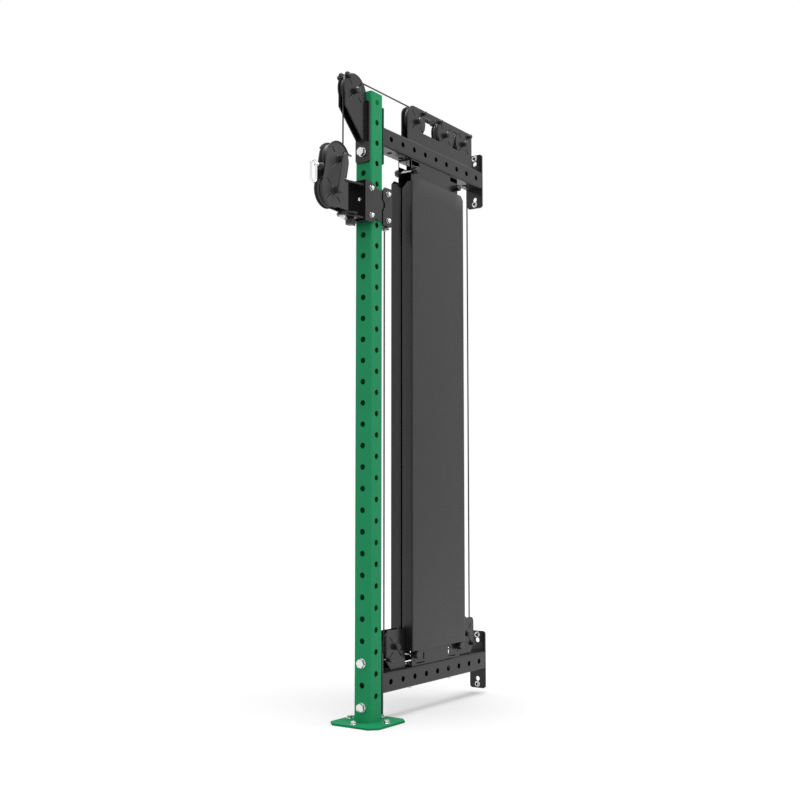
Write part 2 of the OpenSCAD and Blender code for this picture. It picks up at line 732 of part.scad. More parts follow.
module carriage_rear_bracket() {
  r = tw + 49.5;
  x = side_x - carriage_t;
  color([0.15, 0.15, 0.15]) {
    for (s = [0, 1]) mirror([s, 0, 0]) side_plate(x, side_x) rear_side();
    difference() {
      block(-x, x, r - carriage_t, r, car_z - 73, car_z + 76);
      block(-25, 25, r - carriage_t - 1, r + 1, car_z - 30, car_z + 40);
    }
    difference() {
      union() {
        block(-x, x, r - 8, r - carriage_t, car_z - 73, car_z - 68);
        block(-15, 15, r - 8, anchor_y + 13, car_z - 73, car_z - 68);
      }
      bar_z(car_z - 74, car_z - 67, 0, anchor_y, 12);
    }
  }
}
module guide_blocks() {
  x = side_x - carriage_t;
  color([0.1, 0.1, 0.1]) for (s = [-1, 1]) difference() {
    block(-x, x, pad_y - 11, -tw - 0.3, car_z + s * bolt_z - 20, car_z + s * bolt_z + 20);
    bar_x(-x - 1, x + 1, pad_y, car_z + s * bolt_z, 10);
  }
}
module carriage_bolts() {
  f = sleeve_y;
  color("silver") {
    for (s = [-1, 1]) for (y = [pad_y, roll_y]) {
      bar_x(-side_x, side_x + 13, y, car_z + s * bolt_z, 10);
      hex_x(side_x, side_x + 8, y, car_z + s * bolt_z, 17);
      hex_x(-side_x - 6, -side_x, y, car_z + s * bolt_z, 17);
    }
    hex_y(f - 4, f, 22.7, car_z + 3, 10);
    hex_z(car_z + lug_z + lug_t, car_z + lug_z + lug_t + 8, 0, pivot_y, 19);
    bar_z(lug_lo, car_z + lug_z + lug_t, 0, pivot_y, pivot_d);
    bar_z(lug_lo - 2, lug_lo, 0, pivot_y, 26);
    hex_z(lug_lo - 10, lug_lo - 2, 0, pivot_y, 19);
    bar_z(ferrule_z, car_z - 60, 0, anchor_y, 12);
    bar_z(car_z - 68, car_z - 62, 0, anchor_y, 17);
  }
}
module roller(s) {
  color([0.1, 0.1, 0.1]) translate([0, roll_y, car_z + s * bolt_z]) rotate([0, 90, 0])
    rotate_extrude($fn = 64) {
      translate([5.05, -30]) square([roller_r - 5.05, 60]);
      translate([5.05, -side_x + carriage_t + 0.5])
        square([8, 2 * (side_x - carriage_t - 0.5)]);
    }
}
module rear_roller_upper() roller(1);
module rear_roller_lower() roller(-1);
module lock_barrel() {
  color("silver") difference() {
    union() {
      hex_x(-side_x - 10, -side_x, 0, car_z, 34);
      bar_x(-side_x - 22, -side_x - 10, 0, car_z, 28);
    }
    bar_x(-side_x - 23, -side_x + 1, 0, car_z, lock_d + 2 * play);
  }
}
// the pull pin stands parked, lock_travel out of the upright's hole
module lock_pin() {
  x = -side_x - 22.5 - lock_travel;
  color("silver") bar_x(x, -tw + 14 - lock_travel, 0, car_z, lock_d);
  color([0.1, 0.1, 0.1]) {
    bar_x(x - 20, x, 0, car_z, 26);
    for (a = [0 : 60 : 300]) bar_x(x - 20, x - 4, 13 * cos(a), car_z + 13 * sin(a), 11);
  }
}
// a clamp screw: its head holds the swivel's slotted sector down on the lower lug
module swivel_lock_knob() {
  z = lug_lo;
  color("silver") {
    bar_z(z - 4, sector_z + sector_t + 1, 0, lock_y, lock_stem_d);
    bar_z(sector_z + sector_t + 0.5, sector_z + sector_t + 5.5, 0, lock_y, lock_stem_d + 8);
  }
  color([0.1, 0.1, 0.1]) {
    bar_z(z - 25, z - 0.5, 0, lock_y, 26);
    for (a = [30 : 60 : 330])
      bar_z(z - 25, z - 6, 13 * cos(a), lock_y + 13 * sin(a), 12);
  }
}

// Swivel housing
module house_cheeks() {
  side_plate(house_x, house_out) children();
  side_plate(-house_out, -house_x) children();
}
module housing_outline() {
  l = sqrt(pow(ha_y - hb_y, 2) + pow(ha_z - hb_z, 2));
  n = [(ha_z - hb_z) / l * house_r * 0.999, (hb_y - ha_y) / l * house_r * 0.999];
  difference() {
    union() {
      translate([ha_y, ha_z]) circle(r = house_r, $fn = 96);
      translate([hb_y, hb_z]) circle(r = house_r, $fn = 96);
      polygon([[ha_y + n[0], ha_z + n[1]], [hb_y + n[0], hb_z + n[1]],
               [hb_y - n[0], hb_z - n[1]], [ha_y - n[0], ha_z - n[1]]]);
      polygon([[pivot_y + 7, car_z - 56], [pivot_y + 7, car_z + lug_z - 4],
               [pivot_y - 10, car_z + lug_z + 1], [hb_y, hb_z], [hb_y + 25, hb_z - 57]]);
    }
    translate([pivot_y - 25, car_z + lug_z - 2]) square([60, lug_t + 4]);
    axle_cuts(ha_y, ha_z);
    axle_cuts(hb_y, hb_z);
  }
}
module housing_plates() {
  color([0.2, 0.2, 0.2]) house_cheeks() housing_outline();
}
// the pivot tube and the slotted sector that stops and clamps the swivel
module housing_pivot() {
  z1 = car_z + lug_z - 0.5;
  end_a = swivel_a + asin((lock_stem_d / 2 + 0.3) / lock_reach);
  slot_x0 = lock_reach - lock_stem_d / 2 - 0.3;
  edge = lock_reach + lock_stem_d / 2 + 2;
  color([0.2, 0.2, 0.2]) difference() {
    union() {
      bar_z(sector_z, z1, 0, pivot_y, 2 * house_x);
      translate([0, pivot_y, sector_z]) linear_extrude(sector_t) intersection() {
        circle(r = edge);
        polygon([[-16, -10], [16, -10], [edge * sin(end_a + 5), edge * cos(end_a + 5)],
                 [edge, edge], [-edge, edge],
                 [-edge * sin(end_a + 5), edge * cos(end_a + 5)]]);
      }
    }
    bar_z(sector_z - 1, z1 + 1, 0, pivot_y, pivot_d + 0.1);
    translate([0, pivot_y, sector_z - 1]) rotate([0, 0, 90 - end_a])
      rotate_extrude(angle = 2 * end_a, $fn = 96)
        translate([slot_x0, 0]) square([lock_stem_d + 0.6, sector_t + 2]);
  }
}
// lips on the upper edges of the cheeks, the axles and the caps on their free ends
module housing_fittings() {
  color([0.1, 0.1, 0.1]) {
    for (s = [-1, 1]) side_plate(s > 0 ? house_x : -house_out - 2.5,
                                 s > 0 ? house_out + 2.5 : -house_x) {
      intersection() {
        difference() {
          translate([ha_y, ha_z]) circle(r = house_r + 3.5, $fn = 96);
          translate([ha_y, ha_z]) circle(r = house_r, $fn = 96);
        }
        polygon([[ha_y, ha_z], [ha_y + 100, ha_z + 46], [ha_y + 100, ha_z + 100],
                 [ha_y - 100, ha_z + 100], [ha_y - 100, ha_z + 58]]);
      }
      polygon([[ha_y + 57, ha_z + 27], [ha_y + 78, ha_z + 28], [ha_y + 78, ha_z + 31.5],
               [ha_y + 56, ha_z + 34]]);
    }
    for (p = [[ha_y, ha_z], [hb_y, hb_z]]) cap(-1, house_out, p[0], p[1], cap_d, cap_h, axle_d);
  }
  color("silver") for (p = [[ha_y, ha_z], [hb_y, hb_z]])
    bar_x(-house_out - axle_end + out_x, house_out, p[0], p[1], axle_d);
}
module grab_handle() {
  x = house_out + 27.5;
  l = sqrt(pow(ha_y - hb_y, 2) + pow(ha_z - hb_z, 2));
  a = atan((ha_y - hb_y) / (ha_z - hb_z));
  color([0.1, 0.1, 0.1]) {
    for (p = [[ha_y, ha_z], [hb_y, hb_z]]) {
      bar_x(house_out, house_out + 3, p[0], p[1], 30);
      bar_x(house_out, x, p[0], p[1], 24);
    }
    translate([x, hb_y, hb_z]) rotate([-a, 0, 0]) translate([0, 0, -15])
      linear_extrude(l + 30) round_rect(22, 27, 9);
  }
}
module housing_pulley_upper() color("black") pulley(ha_y, ha_z, house_w);
module housing_pulley_lower() color("black") pulley(hb_y, hb_z, house_w);

// Cable, ball and carabiner
module cable_fixed() {
  color([0.1, 0.1, 0.1]) {
    arc(p0_y, top_axle_z, 90, 180);
    bar_y(p0_y, p1_y, 0, run_z, cable_d);
    arc(p1_y, top_axle_z, 0, 90);
    arc(p2_y, top_axle_z, 90, 180);
    bar_y(p2_y, p3_y, 0, run_z, cable_d);
    arc(p3_y, top_axle_z, 0, 90);
    bar_z(low_axle_z, top_axle_z, 0, rear_y, cable_d);
    arc(p3_y, low_axle_z, -90, 0);
    bar_y(lf_y, p3_y, 0, low_run_z, cable_d);
    arc(lf_y, low_axle_z, 180, 270);
  }
}
module cable_front_run() {
  color([0.1, 0.1, 0.1]) bar_z(ha_z, top_axle_z, 0, pivot_y, cable_d);
}
module cable_anchor_run() {
  color([0.1, 0.1, 0.1]) bar_z(low_axle_z, ferrule_z, 0, anchor_y, cable_d);
}
module cable_stack_falls() {
  color([0.1, 0.1, 0.1]) for (s = [-1, 1])
    bar_z(float_z, top_axle_z, 0, stack_y + s * pulley_r, cable_d);
}
module cable_floating_arc() {
  color([0.1, 0.1, 0.1]) arc(stack_y, float_z, 180, 360);
}
module cable_housing_arc() {
  color([0.1, 0.1, 0.1]) arc(ha_y, ha_z, leave_a - 360, 0);
}
module tail(d, gap = 0) {
  translate([0, leave_y, leave_z]) rotate([tail_a, 0, 0]) translate([0, 0, gap])
    cylinder(h = tail_l - gap, d = d);
}
module cable_tail() {
  color([0.1, 0.1, 0.1]) tail(cable_d, 0.3);
}
module stopper_ball() {
  color([0.05, 0.05, 0.05]) difference() {
    translate([0, ball_y, ball_z]) sphere(d = ball_d);
    block(-20, 20, ball_y - 30, ball_y - ball_d / 2 + 1, ball_z - 20, ball_z + 20);
    tail(cable_d);
  }
  color("silver") {
    translate([0, eye_y, eye_z]) rotate_extrude() translate([eye_r, 0]) circle(d = eye_d);
    bar_y(eye_y + eye_r, ball_y - ball_d / 2 + 1, 0, eye_z, 6);
  }
}
module carabiner() {
  color("silver") {
    arc(clip_y, clip_z1, 0, 180, clip_r, clip_d);
    arc(clip_y, clip_z0, 180, 360, clip_r, clip_d);
    bar_z(clip_z0, clip_z1, 0, clip_y + clip_r, clip_d);
  }
}
module carabiner_gate() {
  color("silver") {
    bar_z(gate_z - 3.4, clip_z1 - 0.4, 0, clip_y - clip_r, clip_d - 2);
    bar_x(-clip_d / 2, clip_d / 2, clip_y - clip_r, gate_z, 3);
  }
}

upright();
upright_base_plate();
anchor_bolts();
lower_beam();
upper_beam();
beam_flanges();
wall_plates();
frame_bolts();
top_bracket();
beam_pulley_bracket();
lower_brackets();
pulley_axles();
axle_caps();
pulley_top_front();
pulley_stack_front();
pulley_stack_rear();
pulley_top_rear();
pulley_lower_rear();
pulley_lower_front();
stack_mount_upper();
stack_mount_lower();
mount_rods();
mount_knobs();
shroud_left();
shroud_right();
guide_rods();
stack_bumpers();
resting_plates();
lifted_plates();
head_plate();
selector_stem();
pulley_yoke();
floating_pulley();
selector_pin();
carriage_sleeve();
carriage_rear_bracket();
guide_blocks();
carriage_bolts();
rear_roller_upper();
rear_roller_lower();
lock_barrel();
lock_pin();
swivel_lock_knob();
housing_plates();
housing_pivot();
housing_fittings();
grab_handle();
housing_pulley_upper();
housing_pulley_lower();
cable_fixed();
cable_front_run();
cable_anchor_run();
cable_stack_falls();
cable_floating_arc();
cable_housing_arc();
cable_tail();
stopper_ball();
carabiner();
carabiner_gate();
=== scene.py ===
import json
import math

import bmesh
import bpy
import numpy as np
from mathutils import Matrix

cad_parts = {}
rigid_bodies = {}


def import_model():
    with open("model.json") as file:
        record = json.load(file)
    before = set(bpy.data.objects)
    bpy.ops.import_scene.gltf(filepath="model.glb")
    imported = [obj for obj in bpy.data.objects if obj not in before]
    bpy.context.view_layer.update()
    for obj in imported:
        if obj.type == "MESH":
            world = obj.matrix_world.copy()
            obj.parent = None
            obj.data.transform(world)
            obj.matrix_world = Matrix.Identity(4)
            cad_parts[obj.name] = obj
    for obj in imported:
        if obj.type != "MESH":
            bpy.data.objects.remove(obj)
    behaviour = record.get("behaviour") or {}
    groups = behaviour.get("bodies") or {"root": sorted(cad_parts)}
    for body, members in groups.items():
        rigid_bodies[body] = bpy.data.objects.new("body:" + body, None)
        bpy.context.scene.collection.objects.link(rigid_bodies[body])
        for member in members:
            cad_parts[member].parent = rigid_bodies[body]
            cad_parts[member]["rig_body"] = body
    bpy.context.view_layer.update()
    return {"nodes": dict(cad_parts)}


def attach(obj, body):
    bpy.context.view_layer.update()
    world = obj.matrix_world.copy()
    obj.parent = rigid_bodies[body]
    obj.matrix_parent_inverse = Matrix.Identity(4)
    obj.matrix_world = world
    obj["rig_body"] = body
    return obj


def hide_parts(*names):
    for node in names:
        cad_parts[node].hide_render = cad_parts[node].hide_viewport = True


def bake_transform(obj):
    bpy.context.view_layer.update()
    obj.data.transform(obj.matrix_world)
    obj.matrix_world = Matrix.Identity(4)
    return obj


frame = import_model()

# The camera stands in front and to the right of the machine, below its middle, and looks
# slightly upwards, as the photographer's did. Its 50 mm lens keeps the upright true.
lens = bpy.data.cameras.new("camera")
lens.lens, lens.sensor_width = 50.0, 36.0
lens.clip_start, lens.clip_end = 0.05, 100.0
camera = bpy.data.objects.new("camera", lens)
camera.location = (2.49036, -3.35780, 0.82665)
camera.rotation_euler = (math.radians(95.02), 0.0, math.radians(34.94))
bpy.context.scene.collection.objects.link(camera)
bpy.context.scene.camera = camera
bpy.context.scene.view_settings.view_transform = "Standard"


# The studio is a white cove: a pale floor that runs out of sight, a band of white cloth
# round the room, dimmer overhead and near the floor, and one wide lamp above, which gives
# the soft shadow that lies under the lower beam.
def feed(tree, node, inputs):
    """Sets a node's sockets: a socket is linked, any other value is written on it."""
    for name, value in inputs.items():
        if isinstance(value, bpy.types.NodeSocket):
            tree.links.new(value, node.inputs[name])
        else:
            node.inputs[name].default_value = value


def add(tree, kind, inputs=None, **settings):
    """One node with its settings and what feeds its sockets."""
    node = tree.nodes.new(kind)
    for name, value in settings.items():
        setattr(node, name, value)
    feed(tree, node, inputs or {})
    return node


def linear(code):
    """An sRGB hex value as linear light: a straight foot below 0.04045, the 2.4 power above."""
    c = np.array([int(code[i : i + 2], 16) for i in (0, 2, 4)]) / 255
    c = np.where(c <= 0.04045, c / 12.92, ((c + 0.055) / 1.055) ** 2.4)
    return (float(c[0]), float(c[1]), float(c[2]), 1.0)


def shown_white(tree):
    """1 for a ray from the camera and for one that metal or glass sends on, otherwise 0."""
    ray = add(tree, "ShaderNodeLightPath").outputs
    straight = add(tree, "ShaderNodeMath", {0: ray["Is Camera Ray"], 1: ray["Is Glossy Ray"]},
                   operation="MAXIMUM")
    return add(tree, "ShaderNodeMath", {0: straight.outputs[0], 1: ray["Is Transmission Ray"]},
               operation="MAXIMUM").outputs[0]


sky = bpy.data.worlds.new("studio")
bpy.context.scene.world = sky
sky.use_nodes = True
sky.node_tree.nodes.clear()
height = add(sky.node_tree, "ShaderNodeSeparateXYZ",
             {"Vector": add(sky.node_tree, "ShaderNodeTexCoord").outputs["Generated"]})
share = add(sky.node_tree, "ShaderNodeMapRange", {"Value": height.outputs["Z"],
            "From Min": -0.25, "From Max": 1.0})
band = add(sky.node_tree, "ShaderNodeValToRGB", {0: share.outputs[0]})
for at, level in ((0.0, 0.12), (0.2, 0.42), (0.36, 0.9), (0.52, 0.98), (0.78, 0.5), (1.0, 0.4)):
    stop = band.color_ramp.elements.new(at) if 0 < at < 1 else band.color_ramp.elements[int(at)]
    stop.color = (level, level, level, 1.0)
cloth = add(sky.node_tree, "ShaderNodeBackground", {"Color": band.outputs[0],
            "Strength": 1.3})
paper = add(sky.node_tree, "ShaderNodeBackground", {"Color": linear("ffffff"), "Strength": 1.0})
cove = add(sky.node_tree, "ShaderNodeMixShader", {0: shown_white(sky.node_tree),
           1: cloth.outputs[0], 2: paper.outputs[0]})
add(sky.node_tree, "ShaderNodeOutputWorld", {"Surface": cove.outputs[0]})

lamp = bpy.data.lights.new("overhead", "AREA")
lamp.shape, lamp.size, lamp.size_y, lamp.energy = "RECTANGLE", 2.4, 2.4, 205.0
overhead = bpy.data.objects.new("overhead", lamp)
overhead.location = (0.35, 0.25, 5.2)
bpy.context.scene.collection.objects.link(overhead)

plane = bpy.data.meshes.new("floor")
plane.from_pydata([(-30, -30, 0), (30, -30, 0), (30, 30, 0), (-30, 30, 0)], [], [(0, 1, 2, 3)])
floor = bpy.data.objects.new("floor", plane)
bpy.context.scene.collection.objects.link(floor)
vinyl = bpy.data.materials.new("white_vinyl_floor")
vinyl.use_nodes = True
vinyl.node_tree.nodes.clear()
matt = add(vinyl.node_tree, "ShaderNodeBsdfDiffuse", {"Color": linear("9c9c9c")})
pale = add(vinyl.node_tree, "ShaderNodeBsdfDiffuse", {"Color": linear("c2c2c2")})
away = add(vinyl.node_tree, "ShaderNodeVectorMath", {0: add(vinyl.node_tree,
           "ShaderNodeTexCoord").outputs["Object"]}, operation="LENGTH")
glow = add(vinyl.node_tree, "ShaderNodeMapRange", {"Value": away.outputs["Value"],
           "From Min": 1.0, "From Max": 3.5, "To Min": 0.22, "To Max": 0.5})
lift = add(vinyl.node_tree, "ShaderNodeEmission", {"Color": linear("ffffff"),
           "Strength": glow.outputs[0]})
both = add(vinyl.node_tree, "ShaderNodeAddShader", {0: pale.outputs[0], 1: lift.outputs[0]})
cove = add(vinyl.node_tree, "ShaderNodeMixShader", {0: shown_white(vinyl.node_tree),
           1: matt.outputs[0], 2: both.outputs[0]})
add(vinyl.node_tree, "ShaderNodeOutputMaterial", {"Surface": cove.outputs[0]})
plane.materials.append(vinyl)


# The upright is a 75 mm square steel tube with 3.5 mm walls, punched front and side every
# 80 mm and welded to a foot plate. Both are blasted, powder coated green and baked.
def new_finish(name):
    """An empty finish: its material, its nodes, its skin and the place on the object."""
    material = bpy.data.materials.new(name)
    material.use_nodes = True
    tree = material.node_tree
    tree.nodes.clear()
    skin = add(tree, "ShaderNodeBsdfPrincipled")
    add(tree, "ShaderNodeOutputMaterial", {"Surface": skin.outputs[0]})
    return material, tree, skin, add(tree, "ShaderNodeTexCoord").outputs["Object"]


def powder_coat(name, deep, pale, rough, gloss, peel):
    """Baked polyester powder: a dielectric film that dries with a fine orange peel. The
    peel is 2 mm apart on the real coat and is drawn 5 mm apart, so that it shows."""
    material, tree, skin, where = new_finish(name)
    drift = add(tree, "ShaderNodeTexNoise", {"Vector": where, "Scale": 1 / 0.09, "Detail": 3.0})
    film = add(tree, "ShaderNodeTexNoise", {"Vector": where, "Scale": 1 / 0.005, "Detail": 2.0})
    tone = add(tree, "ShaderNodeMapRange", {"Value": drift.outputs[0], "From Min": 0.35,
               "From Max": 0.65})
    hue = add(tree, "ShaderNodeMix", {0: tone.outputs[0], 6: linear(deep), 7: linear(pale)},
              data_type="RGBA")
    dull = add(tree, "ShaderNodeMapRange", {"Value": film.outputs[0], "From Min": 0.3,
               "From Max": 0.7, "To Min": rough - 0.05, "To Max": rough + 0.05})
    bump = add(tree, "ShaderNodeBump", {"Height": film.outputs[0], "Strength": peel,
               "Distance": 0.0004})
    feed(tree, skin, {"Base Color": hue.outputs[2], "Roughness": dull.outputs[0],
         "Normal": bump.outputs[0], "Specular IOR Level": gloss, "IOR": 1.5})
    return material


def softened(finish, slot, radius, *nodes, segments=2, angle=32.0):
    """A copy of each CAD solid with its points merged and its flat faces joined, whose
    sharp edges are then rounded, as sheet and plate are after tumbling and coating."""
    for node in nodes:
        mesh = frame["nodes"][node].data.copy()
        work = bmesh.new()
        work.from_mesh(mesh)
        bmesh.ops.remove_doubles(work, verts=work.verts, dist=2e-6)
        bmesh.ops.dissolve_limit(work, angle_limit=math.radians(0.4), verts=work.verts,
                                 edges=work.edges)
        work.to_mesh(mesh)
        work.free()
        mesh.materials.clear()
        mesh.materials.append(finish)
        mesh.polygons.foreach_set("material_index", np.zeros(len(mesh.polygons), np.int32))
        mesh.polygons.foreach_set("use_smooth", np.ones(len(mesh.polygons), bool))
        mesh.set_sharp_from_angle(angle=math.radians(angle))
        piece = bpy.data.objects.new(node + "_finished", mesh)
        bpy.context.scene.collection.objects.link(piece)
        edges = piece.modifiers.new("edges", "BEVEL")
        edges.width, edges.segments = radius / 1000, segments
        edges.limit_method, edges.angle_limit = "ANGLE", math.radians(angle)
        edges.use_clamp_overlap = False
        flats = piece.modifiers.new("flats", "WEIGHTED_NORMAL")
        flats.keep_sharp = False
        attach(piece, frame["nodes"][node]["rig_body"])
        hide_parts(node)


green_coat = powder_coat("green_powder_coat", "1e8d5a", "20915d", 0.5, 0.12, 0.12)
softened(green_coat, "green_coat", 0.5, "upright")
# The foot plate's coat is duller, and its green is painted darker than the upright's: painted shade
# on its lamp-lit top.
foot_painted_shade = powder_coat("green_painted_shade_on_foot", "1a7f52", "1c8255", 0.6, 0.03, 0.12)
softened(foot_painted_shade, "green_coat", 1.2, "upright_base_plate")

# The beams, flanges and wall plates are the same tube and 8 mm plate, welded and coated
# satin black. Laser-cut brackets of 5 mm plate carry the pulleys between their cheeks.
black_coat = powder_coat("black_powder_coat", "171718", "1b1b1c", 0.27, 0.42, 0.05)
softened(black_coat, "black_coat", 0.5, "lower_beam", "upper_beam")
softened(black_coat, "black_coat", 1.0, "beam_flanges", "wall_plates")
softened(black_coat, "black_coat", 0.7, "top_bracket", "beam_pulley_bracket", "lower_brackets")


# Hexagon bolts, nuts and washers of zinc plated steel join the frame: M20 through the
# upright, M12 through the beams and into the floor, M10 screws into the wall.
def mesh_piece(name, patches, finish, body, stands_for=(), crease=35.0, uv=None):
    """Makes a piece of grids of points in millimetres, each rows by columns. The quads
    between the points are its faces; seams and poles, where points meet, are merged."""
    points, quads, first = [], [], 0
    for patch in patches:
        rows, columns = patch.shape[:2]
        index = first + np.arange(rows * columns).reshape(rows, columns)
        quads.append(np.stack([index[:-1, :-1], index[:-1, 1:], index[1:, 1:], index[1:, :-1]],
                              -1).reshape(-1, 4))
        points.append(patch.reshape(-1, 3))
        first += rows * columns
    points, quads = np.concatenate(points) / 1000, np.concatenate(quads)
    mesh = bpy.data.meshes.new(name)
    mesh.vertices.add(len(points))
    mesh.vertices.foreach_set("co", points.astype(np.float32).ravel())
    mesh.loops.add(quads.size)
    mesh.loops.foreach_set("vertex_index", quads.astype(np.int32).ravel())
    mesh.polygons.add(len(quads))
    mesh.polygons.foreach_set("loop_start", np.arange(len(quads), dtype=np.int32) * 4)
    mesh.update(calc_edges=True)
    if uv is not None:
        layer = mesh.uv_layers.new(name="lay")
        layer.data.foreach_set("uv", uv[quads.ravel()].astype(np.float32).ravel())
    work = bmesh.new()
    work.from_mesh(mesh)
    bmesh.ops.remove_doubles(work, verts=work.verts, dist=1e-6)
    bmesh.ops.recalc_face_normals(work, faces=work.faces)
    work.to_mesh(mesh)
    work.free()
    mesh.materials.append(finish)
    mesh.polygons.foreach_set("use_smooth", np.ones(len(mesh.polygons), bool))
    mesh.set_sharp_from_angle(angle=math.radians(crease))
    piece = bpy.data.objects.new(name, mesh)
    bpy.context.scene.collection.objects.link(piece)
    if body:
        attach(piece, body)
    if stands_for:
        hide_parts(*stands_for)
    return piece


def stood(patch, origin, axis, turn=0.0):
    """Turns a patch made round +Z by turn degrees, and stands it at origin along axis."""
    w = np.array(axis, float) / np.linalg.norm(axis)
    u = np.cross((0, 0, 1), w) if abs(w[2]) < 0.9 else np.array((1.0, 0, 0))
    u = u / np.linalg.norm(u)
    v = np.cross(w, u)
    c, s = math.cos(math.radians(turn)), math.sin(math.radians(turn))
    x = patch[..., 0:1] * c - patch[..., 1:2] * s
    y = patch[..., 0:1] * s + patch[..., 1:2] * c
    return np.array(origin, float) + x * u + y * v + patch[..., 2:3] * w


def turned(profile, steps=48):
    """A turned shape: each (radius, height) of the profile carried once round +Z."""
    profile = np.array(profile, float)
    a = np.linspace(0, 2 * math.pi, steps + 1)
    r, z = profile[:, 0:1], profile[:, 1:2]
    return np.stack([r * np.cos(a), r * np.sin(a), z + 0 * a], -1)


def hexagon(flats, height, bore=0.0):
    """A hexagon head: the outline's radius is half the flats over the cosine of the angle
    from the nearest flat, and a 30 degree cone trims its top corners to a circle."""
    a = np.linspace(0, 2 * math.pi, 73)
    outline = flats / 2 / np.cos((a + math.pi / 6) % (math.pi / 3) - math.pi / 6)
    r0 = flats / 2 * 0.95
    edge = height - np.clip(outline - r0, 0, None) * math.tan(math.radians(30))
    radii = [0 * a + bore, outline, outline, 0 * a + r0, 0 * a + bore]
    heights = [0 * a, 0 * a, edge, 0 * a + height, 0 * a + height]
    r, z = np.array(radii), np.array(heights)
    return np.stack([r * np.cos(a), r * np.sin(a), z], -1)


def washer(outside, inside, thick):
    """A flat washer: a ring whose stamped edges are rounded by a fifth of its thickness."""
    e = thick * 0.2
    return turned([(inside / 2, e), (inside / 2, thick - e), (inside / 2 + e, thick),
                   (outside / 2 - e, thick), (outside / 2, thick - e), (outside / 2, e),
                   (outside / 2 - e, 0), (inside / 2 + e, 0), (inside / 2, e)])


def threaded(d, z0, z1, pitch):
    """A threaded end: the radius falls to 0.61 pitch below the crest in a triangle wave of
    the height over the pitch less the angle, which makes a true screw line."""
    a = np.linspace(0, 2 * math.pi, 25)
    z = np.linspace(z0, z1, max(4, int((z1 - z0) / pitch * 6)))[:, None]
    wave = np.abs((z / pitch - a / (2 * math.pi)) % 1.0 - 0.5) * 2
    taper = np.clip((z1 - z) / pitch, 0, 1)
    r = d / 2 - 0.61 * pitch * (1 - taper * (1 - wave))
    r[0], r[-1] = r[0] * 0, r[-1] * 0
    return np.stack([r * np.cos(a), r * np.sin(a), z + 0 * a], -1)


def zinc_plate(name, cool, warm, rough):
    """Bright zinc over steel: a metal, faintly clouded where the bath dried, and rolled
    smooth. The clouds are some 4 mm across."""
    material, tree, skin, where = new_finish(name)
    bath = add(tree, "ShaderNodeTexNoise", {"Vector": where, "Scale": 1 / 0.004, "Detail": 3.0})
    tint = add(tree, "ShaderNodeMix", {0: bath.outputs[0], 6: linear(cool), 7: linear(warm)},
               data_type="RGBA")
    dull = add(tree, "ShaderNodeMapRange", {"Value": bath.outputs[0], "From Min": 0.3,
               "From Max": 0.7, "To Min": rough - 0.07, "To Max": rough + 0.07})
    bump = add(tree, "ShaderNodeBump", {"Height": bath.outputs[0], "Strength": 0.12,
               "Distance": 0.0003})
    feed(tree, skin, {"Base Color": tint.outputs[2], "Roughness": dull.outputs[0],
         "Metallic": 1.0, "Normal": bump.outputs[0]})
    return material


zinc = zinc_plate("zinc_plated_steel", "d2d5d8", "ebebe7", 0.2)


def through_bolt(origin, axis, size, flats, head, grip, nut, turn, ring=3.0):
    """A bolt whose washer stands at origin: washer and head back along the axis, and grip
    millimetres on, the nut and the threaded end beyond it."""
    back = [-n for n in axis]
    parts = [stood(turned([(0, 0), (size / 2, 0), (size / 2, grip + nut), (0, grip + nut)]),
                   origin, axis)]
    if head:
        if ring:
            parts.append(stood(washer(flats * 1.2, size, ring), origin, back))
        seat = [o + b * ring for o, b in zip(origin, back)]
        parts.append(stood(hexagon(flats, head), seat, back, turn))
    if nut:
        at = [o + n * grip for o, n in zip(origin, axis)]
        parts.append(stood(hexagon(flats, nut, size / 2), at, axis, turn + 17))
        parts.append(stood(threaded(size, grip + nut - 2, grip + nut + size * 0.2, size / 8),
                           origin, axis))
    return parts


parts = []
for z, y, turn in ((60, -37.5, 8), (220, -37.5, 21), (2140, -45.5, 3)):
    parts += through_bolt((0, y, z), (0, 1, 0), 20, 30, 12, 45.5 - y, 14, turn)
parts += through_bolt((0, -45.5, 2300), (0, 1, 0), 20, 30, 0, 91, 14, 12)
for y, turn in ((272.5, 10), (556.5, 40)):
    parts += through_bolt((0, y, 2262.5), (0, 0, -1), 12, 19, 8, 85, 11, turn, ring=0)
    parts += through_bolt((0, y, 182.5), (0, 0, -1), 12, 19, 8, 80, 11, turn + 7, ring=0)
mesh_piece("frame_bolts_threaded", parts, zinc, "frame", ["frame_bolts"])

parts = []
for x, y, turn in ((85, 0, 9), (0, 85, 33), (-85, 0, 51), (0, -85, 18)):
    parts.append(stood(washer(26, 12, 2), (x, y, 8), (0, 0, 1)))
    parts.append(stood(hexagon(19, 9.6, 6), (x, y, 10), (0, 0, 1), turn))
    parts.append(stood(threaded(12, 0, 20, 1.75), (x, y, 0.2), (0, 0, 1)))
for z in (37, 243, 2117, 2323):
    parts.append(stood(washer(24, 11, 1.5), (0, 783.5, z), (0, -1, 0)))
    parts.append(stood(hexagon(17, 6.5), (0, 782, z), (0, -1, 0), z % 60))
    parts.append(stood(turned([(0, 0), (5.5, 0), (5.5, 16), (0, 16)]), (0, 775.5, z), (0, 1, 0)))
mesh_piece("floor_and_wall_bolts", parts, zinc, "frame", ["anchor_bolts"])


